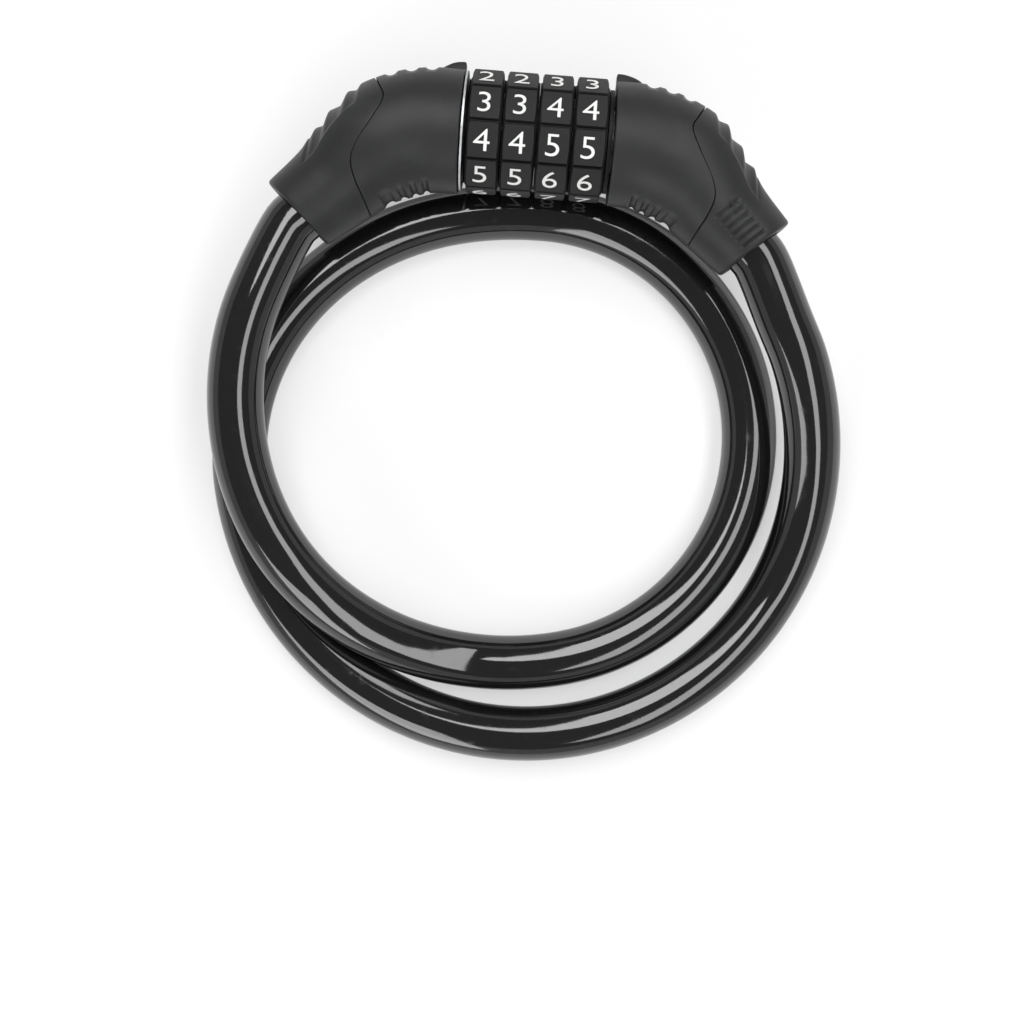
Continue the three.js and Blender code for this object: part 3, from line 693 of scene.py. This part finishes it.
def ring_of_faces_tree():
    """One face's share of a dial repeated about the X axis, with a number on each face."""
    inputs = [
        ("Faces", "Int"),
        ("Numbers", "Collection"),
        ("First number", "Int"),
        ("Face distance", "Float"),
        ("Tilt", "Float"),
        ("Place", "Vector"),
        ("Material", "Material"),
        ("Number material", "Material"),
    ]
    tree = Tree("Ring of faces", inputs)
    faces = tree.given("Faces")
    points = tree.node("GeometryNodeMeshLine", None, {"Count": faces, "Offset": (0, 0, 0)})
    index = tree.node("GeometryNodeInputIndex")
    angle = index * (2 * math.pi) / faces - tree.given("Tilt")
    turn = tree.node("ShaderNodeCombineXYZ", None, {"X": angle})
    places = {"Points": points, "Instance": tree.given("Geometry"), "Rotation": turn}
    drum = tree.node("GeometryNodeInstanceOnPoints", None, places)
    drum = tree.node("GeometryNodeRealizeInstances", None, {"Geometry": drum})
    drum = tree.node("GeometryNodeMergeByDistance", None, {"Geometry": drum, "Distance": 0.002 * MM})
    covered = {"Geometry": drum, "Material": tree.given("Material")}
    drum = tree.node("GeometryNodeSetMaterial", None, covered)
    numbers = {"Collection": tree.given("Numbers"), "Separate Children": True, "Reset Children": True}
    glyphs = tree.node("GeometryNodeCollectionInfo", None, numbers)
    wanted = index + tree.given("First number")
    wanted = tree.node("ShaderNodeMath", {"operation": "MODULO"}, {0: wanted, 1: faces})
    where = {"Points": points, "Instance": glyphs, "Pick Instance": True, "Instance Index": wanted}
    printed = tree.node("GeometryNodeInstanceOnPoints", None, {**where, "Rotation": turn})
    outward = tree.node("ShaderNodeCombineXYZ", None, {"Z": tree.given("Face distance")})
    moved = {"Instances": printed, "Translation": outward, "Local Space": True}
    printed = tree.node("GeometryNodeTranslateInstances", None, moved)
    printed = tree.node("GeometryNodeRealizeInstances", None, {"Geometry": printed})
    inked = {"Geometry": printed, "Material": tree.given("Number material")}
    printed = tree.node("GeometryNodeSetMaterial", None, inked)
    both = tree.node("GeometryNodeJoinGeometry")
    for part in (drum, printed):
        tree.tree.links.new(part.socket, both.socket.node.inputs[0])
    moved = {"Geometry": both, "Translation": tree.given("Place")}
    tree.finish(tree.node("GeometryNodeTransform", None, moved))
    return tree


# ---------------------------------------------------------------- cable


def sleeve_point(side, distance):
    """A point on a sleeve's axis, by its distance from the elbow."""
    x = side * (ELBOW_X + distance * math.cos(BEND_ANGLE))
    return (x, AXIS.y / MM - distance * math.sin(BEND_ANGLE), AXIS.z / MM)


def coil_point(degrees):
    """A point of the coil: into the small turn, under the head, and out to the large turn."""
    rise = ease(degrees, *RISE_TO_PLUG)
    radius = (
        OUTER_START_RADIUS
        + (INNER_RADIUS - OUTER_START_RADIUS) * ease(degrees, *INTO_SMALL_TURN)
        + (UNDER_HEAD_RADIUS - INNER_RADIUS) * ease(degrees, *TO_UNDER_HEAD)
        + (OUTER_RADIUS - UNDER_HEAD_RADIUS) * ease(degrees, *OUT_TO_LARGE_TURN)
        + (RISEN_RADIUS - OUTER_RADIUS) * rise
    )
    lying = CABLE_DIAMETER / 2 - CABLE_FLAT
    top = AXIS.z / MM
    height = (
        lying
        + (top - lying - CROSSING_HEIGHT) * (1 - ease(degrees, *DOWN_TO_CROSSING))
        + CROSSING_HEIGHT * (1 - ease(degrees, *DOWN_TO_FLOOR))
        + (top - lying) * rise
    )
    angle = math.radians(degrees)
    x, y = COIL_MIDDLE
    return (x + radius * math.cos(angle), y + radius * math.sin(angle), height)


def cable_route():
    """The cable's centre line from ferrule to ferrule, in metres."""
    ends = (FERRULE_END + CABLE_INSET, SLEEVE_LENGTH, STRAIGHT_LENGTH)
    turns = np.linspace(COIL_START, COIL_END, COIL_STEPS + 1)
    points = [sleeve_point(-1, distance) for distance in ends]
    points += [coil_point(degrees) for degrees in turns]
    points += [sleeve_point(1, distance) for distance in reversed(ends)]
    return through(points, CABLE_POINTS) * MM


class LOCK_OT_cable(bpy.types.Operator):
    """Builds the covered cable and its core along the coil"""

    bl_idname = "lock.cable"
    bl_label = "Cable"

    def execute(self, context):
        settings = context.scene.lock_cable
        route = cable_route()
        vinyl = glossy_vinyl("Glossy vinyl", settings.colour, settings.roughness)
        strands = turned_metal("Wire rope steel", (0.5, 0.51, 0.53), 0.35, lines=900)
        tree = swept_tube_tree()
        chain = [(i, i + 1) for i in range(len(route) - 1)]
        pieces = []
        for name, diameter, sides, material in (
            ("cable", settings.diameter - JACKET_PLAY * MM, settings.sides, vinyl),
            ("wire_rope", CORE_DIAMETER * MM, CORE_SIDES, strands),
        ):
            line = mesh_object(name + "_line", route.tolist(), [], edges=chain)
            values = {"Radius": diameter / 2, "Sides": sides, "Floor": 0.0, "Material": material}
            pieces.append(grown(name, line, tree, values))
        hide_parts("cable_jacket")
        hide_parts("cable_core")
        for piece in pieces:
            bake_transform(piece)
        return {"FINISHED"}


# ---------------------------------------------------------------- covers and sleeves

OUTER_CURVE = through(OUTER_FLANK, FLANK_POINTS)
INNER_CURVE = through(INNER_FLANK, FLANK_POINTS)
SEAM_LINE = through(SEAM, SEAM_POINTS)


def middle_line(along):
    """Points and directions in plan, by the distance along the line from the bend's start."""
    angle = np.clip(along, 0, BEND_LENGTH) / BEND_RADIUS
    before = np.minimum(along, 0)
    beyond = np.maximum(along - BEND_LENGTH, 0)
    x = BEND_START_X + before + BEND_RADIUS * np.sin(angle) + beyond * math.cos(BEND_ANGLE)
    y = BEND_RADIUS * (np.cos(angle) - 1) - beyond * math.sin(BEND_ANGLE)
    return x, y, np.cos(angle), -np.sin(angle)


def section(along):
    """The radius of the round section, and how far its middle lies outside the middle line."""
    outer = np.interp(along, OUTER_CURVE[:, 0], OUTER_CURVE[:, 1])
    inner = np.interp(along, INNER_CURVE[:, 0], INNER_CURVE[:, 1])
    return (outer + inner) / 2, (outer - inner) / 2


def body_point(along, angle, radius, offset=0):
    """A point about the middle line: the angle starts at the outer flank and turns over the top."""
    x, y, dx, dy = middle_line(along)
    across = radius * np.cos(angle) + offset
    return np.stack([x - dy * across, y + dx * across, radius * np.sin(angle)], axis=-1)


def seam_distance(side, angle):
    """Where the seam, an upright cut through the body, crosses each angle."""
    shift_x, shift_y = SEAM_SHIFT[side]
    line_x, line_y = SEAM_LINE[:, 0] + shift_x, SEAM_LINE[:, 1] + shift_y
    low = np.full_like(angle, SEAM_EARLIEST)
    high = np.full_like(angle, MOUTH)
    for _ in range(SEAM_HALVINGS):
        middle = (low + high) / 2
        point = body_point(middle, angle, *section(middle))
        inside = point[..., 0] < np.interp(-point[..., 1], -line_y, line_x)
        low = np.where(inside, middle, low)
        high = np.where(inside, high, middle)
    return low


def step_recess(side):
    """How far the steps lie behind the smooth flank at each x, with their corners rounded."""
    along = np.linspace(0, MOUTH, 2 * FLANK_POINTS)
    flank = body_point(along, np.zeros_like(along), *section(along))
    corners = [point for a, b, c, d in STEPS[side] for point in ((a, b), (c, d))]
    x = np.arange(*STEP_REACH, STEP_SAMPLE)
    smooth = np.interp(x, flank[:, 0], flank[:, 1])
    edge = np.interp(x, [corner[0] for corner in corners], [corner[1] for corner in corners])
    depth = np.where((x > corners[0][0]) & (x < corners[-1][0]), smooth - edge, 0)
    reach = int(3 * STEP_ROUNDING / STEP_SAMPLE)
    kernel = np.exp(-0.5 * (np.arange(-reach, reach + 1) * STEP_SAMPLE / STEP_ROUNDING) ** 2)
    return x, np.convolve(np.pad(depth, reach, mode="edge"), kernel / kernel.sum(), mode="valid")


STEP_RECESS = {side: step_recess(side) for side in STEPS}


def stepped(points, angles, side):
    """Points moved in to the steps, which end along a straight crease beside the smooth top."""
    depth = np.interp(points[..., 0], *STEP_RECESS[side])
    from_crease = SLEEVE_RADIUS * np.cos(angles) - STEP_CREASE
    share = np.clip(from_crease / (SLEEVE_RADIUS - STEP_CREASE), 0, 1)
    at_crease = ease(from_crease, -CREASE_FADE, CREASE_FADE)
    depth = depth * (STEP_AT_CREASE * at_crease + (1 - STEP_AT_CREASE) * share)
    return points - depth[..., None] * np.stack([0 * angles, np.cos(angles), np.sin(angles)], axis=-1)


def grip_depth(places, angles, radius, side):
    """Rounded grooves down both flanks."""
    height = np.abs(radius * np.sin(angles))
    depth = np.zeros_like(radius)
    for flank, grips in ((1, OUTER_GRIPS[side]), (-1, INNER_GRIPS)):
        shown = (1 - ease(height, *GRIP_FADE[flank])) * (np.cos(angles) * flank > 0)
        for grip in grips:
            off = np.clip(np.abs(places - grip) / GRIP_HALF_WIDTH[flank], 0, 1)
            depth += GRIP_DEPTH * np.cos(off * math.pi / 2) ** SOFT_CORNERS * shown
    return depth


def pointer_height(from_face, angles, radius):
    """A raised crescent on the outer flank, highest at the dials."""
    share = np.clip(from_face / POINTER_LENGTH, 0, 1)
    height = np.abs(radius * np.sin(angles))
    start, end = (POINTER_HALF_WIDTH + fade for fade in POINTER_FADE)
    sides = (1 - ease(height, start, end)) * (np.cos(angles) > 0)
    return POINTER_HEIGHT * (1 - share**POINTER_FULLNESS) ** SOFT_CORNERS * sides


def notch_depth(places, angles, radius):
    """A row of short notches across the top of the sleeve."""
    from_middle = places - BEND_LENGTH + BEND_TANGENT - NOTCH_MIDDLE
    depth = np.zeros_like(radius)
    for i in range(NOTCH_COUNT):
        off = from_middle - (i - (NOTCH_COUNT - 1) / 2) * NOTCH_PITCH
        depth += 1 - ease(np.abs(off), 0, NOTCH_HALF_WIDTH * 2)
    across = np.abs(radius * np.cos(angles) - NOTCH_ACROSS)
    start, end = (NOTCH_HALF_LENGTH + fade for fade in NOTCH_END_FADE)
    return NOTCH_DEPTH * depth * (1 - ease(across, start, end)) * (np.sin(angles) > 0)


def rounded_end(size):
    """An end's rounding, from the flat end to the full radius: how far in, and how far along."""
    turn = np.linspace(0, math.pi / 2, ROUNDING_STEPS)
    return size * (1 - np.sin(turn)), size * (1 - np.cos(turn))


def round_angles():
    """The angles of the columns round a cover or a sleeve."""
    return np.linspace(0, 2 * math.pi, COVER_COLUMNS, endpoint=False)


def outer_rows(start, end, roundings, relief):
    """Rings of the outer skin between two lines round the body, with both ends rounded."""
    angle = round_angles()
    inset, forward = rounded_end(roundings[0])
    rings = [(start + step, cut) for cut, step in zip(inset, forward)]
    first = start + roundings[0]
    last = end - roundings[1]
    rings += [(first + (last - first) * share, 0) for share in np.linspace(0, 1, COVER_ROWS)[1:-1]]
    inset, forward = rounded_end(roundings[1])
    rings += [(end - step, cut) for cut, step in zip(inset[::-1], forward[::-1])]
    places = np.array([np.broadcast_to(place, angle.shape) for place, _ in rings])
    cuts = np.array([np.broadcast_to(cut, angle.shape) for _, cut in rings])
    angles = np.broadcast_to(angle, places.shape)
    radius, offset = section(places)
    return body_point(places, angles, radius - cuts + relief(places, angles, radius), offset), angles


def inner_rows(start, end, bore):
    """Rings of the inner wall."""
    places = start + (end - start) * np.linspace(0, 1, INNER_ROWS)[:, None]
    angles = np.broadcast_to(round_angles(), places.shape)
    return body_point(places, angles, np.full_like(places, bore))


def cover_rows(side):
    """The cover beside the dials, from its face to the seam."""
    face = FACE_X[side] - BEND_START_X
    angle = round_angles()
    seam = seam_distance(side, angle) - SEAM_GAP / 2
    start = np.full_like(angle, face)

    def relief(places, angles, radius):
        return pointer_height(places - face, angles, radius) - grip_depth(places, angles, radius, side)

    outer, _ = outer_rows(start, seam, (FACE_ROUNDING, SEAM_ROUNDING), relief)
    return np.concatenate([outer, inner_rows(start, seam, COVER_BORE)[::-1]])


def sleeve_rows(side):
    """The sleeve round the cable, from the seam to its mouth, with notches on the plug's."""
    angle = round_angles()
    seam = seam_distance(side, angle) + SEAM_GAP / 2
    mouth = np.full_like(angle, MOUTH)

    def relief(places, angles, radius):
        return -notch_depth(places, angles, radius) * (side > 0)

    outer, angles = outer_rows(seam, mouth, (SEAM_ROUNDING, MOUTH_ROUNDING), relief)
    outer = stepped(outer, angles, side)
    return np.concatenate([outer, inner_rows(seam, mouth, SLEEVE_BORE)[::-1]])


class LOCK_OT_covers(bpy.types.Operator):
    """Builds the moulded covers and sleeves of both sides of the head"""

    bl_idname = "lock.covers"
    bl_label = "Covers and sleeves"

    def execute(self, context):
        settings = context.scene.lock_covers
        plastic = moulded_plastic(
            "Charcoal moulding", settings.colour, settings.roughness, grain=5200, unevenness=0.5
        )
        for side, body, word in ((-1, "lock_body", "body"), (1, "plug", "plug")):
            for rows, kind in ((cover_rows(side), "cover"), (sleeve_rows(side), "sleeve")):
                rows = rows * np.array([side, 1, 1])
                piece = ring_shell(f"{word}_{kind}_moulding", rows, plastic)
                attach(piece, body)
                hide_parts(f"{word}_{kind}")
        return {"FINISHED"}


# ---------------------------------------------------------------- dials


def sector_angles(half_turn, edge):
    """Angles across one face and half of each groove beside it, closer together in the grooves."""
    last_on_face, first_in_groove = (share * edge for share in COLUMN_SPLIT)
    on_face = np.linspace(0, last_on_face, FACE_COLUMNS)
    in_groove = np.linspace(first_in_groove, half_turn, GROOVE_COLUMNS)
    spread = np.concatenate([on_face, in_groove])
    return np.concatenate([-spread[:0:-1], spread])


def dial_sector():
    """One face's share of a dial as a closed loop of rows, across its width and round its section."""
    half_turn = math.pi / DIAL_FACES
    face = DIAL_CORNER_RADIUS * math.cos(half_turn)
    half_face = DIAL_CORNER_RADIUS * math.sin(half_turn) - DIAL_GROOVE_WIDTH / 2
    edge = math.atan2(half_face, face)
    angle = sector_angles(half_turn, edge)
    flat = face / np.cos(angle)
    into = np.clip((np.abs(angle) - edge) / (half_turn - edge), 0, 1)
    outline = flat - (flat - (face - DIAL_GROOVE_DEPTH)) * ease(into, *GROOVE_SLOPE)

    half = DIAL_WIDTH / 2
    left = np.linspace(-half, -half + SIDE_WIDTH, SIDE_ROWS)
    middle = np.linspace(-half + MIDDLE_START, half - MIDDLE_START, MIDDLE_ROWS)
    right = np.linspace(half - SIDE_WIDTH, half, SIDE_ROWS)
    across = np.concatenate([left, middle, right])
    from_side = half - np.abs(across)
    cone = DIAL_RIM_RADIUS + from_side * (DIAL_CORNER_RADIUS - DIAL_RIM_RADIUS) / DIAL_CHAMFER
    difference = outline[None, :] - cone[:, None]
    lower = (outline[None, :] + cone[:, None] - np.sqrt(difference**2 + CHAMFER_BLEND**2)) / 2
    rim_width, rim_depth = RIM_ROUNDING
    rim = np.minimum(from_side / rim_width, 1)
    radius = lower - rim_depth * (1 - np.sqrt(1 - (1 - rim) ** 2))[:, None]

    hub_half = HUB_WIDTH / 2
    hub = [
        (half, HUB_RADIUS + HUB_FILLET),
        (half + HUB_FILLET, HUB_RADIUS),
        (hub_half - HUB_CHAMFER, HUB_RADIUS),
        (hub_half, HUB_RADIUS - HUB_CHAMFER),
        (hub_half, DIAL_BORE),
    ]
    inside = hub + [(-x, r) for x, r in reversed(hub)]
    rows_x = np.concatenate([across, [x for x, _ in inside]])
    rows_r = np.concatenate([radius, np.array([[r] * len(angle) for _, r in inside])])
    y = rows_r * np.sin(angle)
    z = rows_r * np.cos(angle)
    return np.stack([np.broadcast_to(rows_x[:, None], y.shape), y, z], axis=-1)


def sector_object():
    """One face's share of a dial, open where the next ones join it."""
    rows = dial_sector()
    count, columns = rows.shape[:2]
    first = np.arange(count * columns).reshape(count, columns)
    down = np.roll(first, -1, axis=0)
    quads = np.stack([first[:, :-1], first[:, 1:], down[:, 1:], down[:, :-1]], axis=-1).reshape(-1, 4)
    return mesh_object("dial_sector", (rows.reshape(-1, 3) * MM).tolist(), quads.tolist())


def number_mesh(number, height):
    """A number as a flat mesh of a given height, about its own middle but for its shift."""
    text = bpy.data.curves.new(f"number_{number}", "FONT")
    text.body = str(number)
    text.size = 1
    text.offset = NUMBER_THINNING
    text.resolution_u = NUMBER_SMOOTHNESS
    mesh = used_up(add_object(f"number_{number}", text))
    points = np.array([vertex.co for vertex in mesh.vertices])
    low, high = points.min(0), points.max(0)
    scale = height / (high[1] - low[1])
    middle = (low + high) / 2
    sized = Matrix.Diagonal((NUMBER_WIDENING * scale, scale, 1, 1)) @ Matrix.Translation(-Vector(middle))
    mesh.transform(Matrix.Translation((-NUMBER_SHIFT * MM, 0, 0)) @ sized)
    return mesh


def thicken(mesh, relief):
    """Makes a flat mesh a closed solid that stands out to either side by a relief in metres."""
    solid = bmesh.new()
    solid.from_mesh(mesh)
    bmesh.ops.remove_doubles(solid, verts=solid.verts, dist=1e-7)
    made = bmesh.ops.extrude_face_region(solid, geom=list(solid.faces))["geom"]
    top = [part for part in made if isinstance(part, bmesh.types.BMVert)]
    bmesh.ops.translate(solid, verts=top, vec=(0, 0, relief * 2))
    bmesh.ops.recalc_face_normals(solid, faces=solid.faces)
    bmesh.ops.translate(solid, verts=solid.verts, vec=(0, 0, -relief))
    solid.to_mesh(mesh)
    solid.free()


def number_collection(height, material):
    """The numbers of all faces as thin solids, in order."""
    collection = bpy.data.collections.new("Dial numbers")
    for number in range(DIAL_FACES):
        mesh = number_mesh(number, height)
        thicken(mesh, NUMBER_RELIEF * MM)
        mesh.materials.clear()
        mesh.materials.append(material)
        collection.objects.link(bpy.data.objects.new(f"number_{number}", mesh))
    return collection


class LOCK_OT_dials(bpy.types.Operator):
    """Builds the four dials with their numbers"""

    bl_idname = "lock.dials"
    bl_label = "Dials"

    def execute(self, context):
        settings = context.scene.lock_dials
        plastic = moulded_plastic(
            "Black dial plastic",
            settings.colour,
            roughness=0.5,
            grain=4200,
            unevenness=0.9,
            # painted shade on the hubs and in the gaps between the dials
            painted_shade_within=HUB_RADIUS + HUB_PAINTED_SHADE,
        )
        ink = printed_white("White ink", settings.number_colour)
        numbers = number_collection(settings.number_height, ink)
        tree = ring_of_faces_tree()
        for dial, first in NUMBER_AT_TILT.items():
            low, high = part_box(f"dial_{dial}")
            values = {
                "Faces": DIAL_FACES,
                "Numbers": numbers,
                "First number": first,
                "Face distance": DIAL_CORNER_RADIUS * math.cos(math.pi / DIAL_FACES) * MM,
                "Tilt": math.radians(DIAL_FACE_TILT),
                "Place": Vector(((low.x + high.x) / 2, AXIS.y, AXIS.z)),
                "Material": plastic,
                "Number material": ink,
            }
            piece = grown(f"numbered_dial_{dial}", sector_object(), tree, values)
            face_outward(piece.data)
            smooth_up_to(piece.data, DIAL_CREASE)
            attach(piece, f"dial_{dial}_unit")
            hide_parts(f"dial_{dial}")
        for glyph in list(numbers.objects):
            bpy.data.objects.remove(glyph)
        bpy.data.collections.remove(numbers)
        return {"FINISHED"}


# ---------------------------------------------------------------- steel and brass


class LOCK_OT_steel(bpy.types.Operator):
    """Finishes the steel and brass parts inside the head"""

    bl_idname = "lock.steel"
    bl_label = "Steel and brass parts"

    def execute(self, context):
        bright = turned_metal("Bright turned steel", (0.74, 0.75, 0.77), 0.18, lines=9000)
        plated = turned_metal("Zinc plate", (0.56, 0.57, 0.59), 0.3, lines=5000)
        strip = turned_metal("Blackened steel", (0.025, 0.025, 0.026), 0.4, lines=3000)
        brass = turned_metal("Machined brass", (0.62, 0.46, 0.19), 0.22, lines=7000)
        # painted shade on the washer's shoulder, which lies in shade beside the dials
        washer = turned_metal(
            "Thrust washer steel", (0.6, 0.61, 0.62), 0.35, lines=9000, painted_shade_from=WASHER_SHOULDER_X
        )
        finishes = {
            "body_rivet": bright,
            "plug_rivet": bright,
            "toothed_pin": bright,
            "body_ferrule": plated,
            "plug_ferrule": plated,
            "slotted_barrel": plated,
            "detent_spring": strip,
            "retaining_ring": strip,
            "thrust_washer": washer,
            **{f"clutch_ring_{dial}": brass for dial in NUMBER_AT_TILT},
        }
        for node, material in finishes.items():
            mesh = frame["nodes"][node].data
            mesh.materials.clear()
            mesh.materials.append(material)
        return {"FINISHED"}


# ---------------------------------------------------------------- stage


def white_stage_material(colour):
    """Matt white that keeps shadows near the lock, and glows white to the camera farther out."""
    material, maker = new_material("White stage")
    matt = maker.node("ShaderNodeBsdfDiffuse", None, {"Color": rgb(colour), "Roughness": 1.0})
    glow = maker.node("ShaderNodeEmission", None, {"Color": rgb((1, 1, 1)), "Strength": 1.0})
    place = {0: object_place(maker)}
    distance = maker.node("ShaderNodeVectorMath", {"operation": "LENGTH"}, place, "Value")
    far = distance.within(*GLOW_FADE)
    ray = maker.node("ShaderNodeLightPath")
    direct = ray.output("Is Camera Ray") + ray.output("Is Transmission Ray")
    seen = maker.node("ShaderNodeClamp", None, {"Value": direct})
    shown = seen * (far * (1 - NEAR_GLOW) + NEAR_GLOW)
    glossy = ray.output("Is Glossy Ray")
    reflected = glossy * (far * (FAR_REFLECTION - NEAR_REFLECTION) + NEAR_REFLECTION)
    close(maker, maker.node("ShaderNodeMixShader", None, {0: shown + reflected, 1: matt, 2: glow}))
    return material


def add_lamp(name, place, size, turn, radiance):
    """A rectangular lamp that faces down, as bright as radiance times white."""
    lamp = bpy.data.lights.new(name, "AREA")
    lamp.shape = "RECTANGLE"
    lamp.size, lamp.size_y = size
    lamp.energy = radiance * math.pi * size[0] * size[1]
    holder = add_object(name, lamp)
    holder.location = place
    holder.rotation_euler = Euler((0, 0, math.radians(turn)))
    holder.visible_camera = False


def add_floor(white):
    """A wide floor just beneath the cable."""
    ways = ((-1, -1), (1, -1), (1, 1), (-1, 1))
    corners = [(x * FLOOR_REACH, y * FLOOR_REACH, -FLOOR_DROP) for x, y in ways]
    mesh_object("floor", corners, [(0, 1, 2, 3)], white)


def add_backdrop(white):
    """An open upright cylinder round the floor."""
    sides = BACKDROP_SIDES
    turns = [2 * math.pi * i / sides for i in range(sides)]
    ring = [(BACKDROP_RADIUS * math.cos(turn), BACKDROP_RADIUS * math.sin(turn)) for turn in turns]
    corners = [(x, y, z) for z in (-BACKDROP_DROP, BACKDROP_TOP) for x, y in ring]
    quads = [(i, sides + i, sides + (i + 1) % sides, (i + 1) % sides) for i in range(sides)]
    mesh_object("backdrop", corners, quads, white)


class LOCK_OT_stage(bpy.types.Operator):
    """Builds the floor, the backdrop, the lamps and the camera"""

    bl_idname = "lock.stage"
    bl_label = "Stage"

    def execute(self, context):
        settings = context.scene.lock_stage
        scene = context.scene
        scene.view_settings.view_transform = "Standard"
        white = white_stage_material(settings.floor_colour)
        add_floor(white)
        add_backdrop(white)

        world = bpy.data.worlds.new("Studio")
        world.use_nodes = True
        background = world.node_tree.nodes["Background"]
        background.inputs["Color"].default_value = rgb((1, 1, 1))
        background.inputs["Strength"].default_value = WORLD_LIGHT
        scene.world = world
        for name, (place, size, turn, radiance) in LAMPS.items():
            add_lamp(name, place, size, turn, radiance * settings.strength)

        camera = bpy.data.cameras.new("Camera")
        camera.lens = CAMERA_LENS
        camera.sensor_width = CAMERA_SENSOR
        camera.clip_start = CAMERA_CLIP
        eye = add_object("Camera", camera)
        eye.location = CAMERA_PLACE
        eye.rotation_euler = Euler((0, 0, math.radians(CAMERA_TURN)))
        scene.camera = eye
        return {"FINISHED"}


# ---------------------------------------------------------------- panel and registration

OPERATORS = (LOCK_OT_stage, LOCK_OT_cable, LOCK_OT_covers, LOCK_OT_dials, LOCK_OT_steel)
SETTINGS = {
    "lock_covers": CoverSettings,
    "lock_dials": DialSettings,
    "lock_cable": CableSettings,
    "lock_stage": StageSettings,
}


class LOCK_PT_panel(bpy.types.Panel):
    """Lists the settings and the pieces of the cable lock"""

    bl_idname = "LOCK_PT_panel"
    bl_label = "Cable lock"
    bl_space_type = "VIEW_3D"
    bl_region_type = "UI"
    bl_category = "Cable Lock"

    def draw(self, context):
        for name, group in SETTINGS.items():
            box = self.layout.box()
            for field in group.__annotations__:
                box.prop(getattr(context.scene, name), field)
        for operator in OPERATORS:
            self.layout.operator(operator.bl_idname)


def register():
    for group in SETTINGS.values():
        bpy.utils.register_class(group)
    for name, group in SETTINGS.items():
        setattr(bpy.types.Scene, name, PointerProperty(type=group))
    for item in (*OPERATORS, LOCK_PT_panel):
        bpy.utils.register_class(item)


def unregister():
    for item in reversed((*OPERATORS, LOCK_PT_panel)):
        bpy.utils.unregister_class(item)
    for name in SETTINGS:
        delattr(bpy.types.Scene, name)
    for group in reversed(SETTINGS.values()):
        bpy.utils.unregister_class(group)


def main():
    """Builds the lock and its stage."""
    register()
    bpy.ops.lock.stage()
    bpy.ops.lock.cable()
    bpy.ops.lock.covers()
    bpy.ops.lock.dials()
    bpy.ops.lock.steel()


if __name__ == "__main__":
    main()
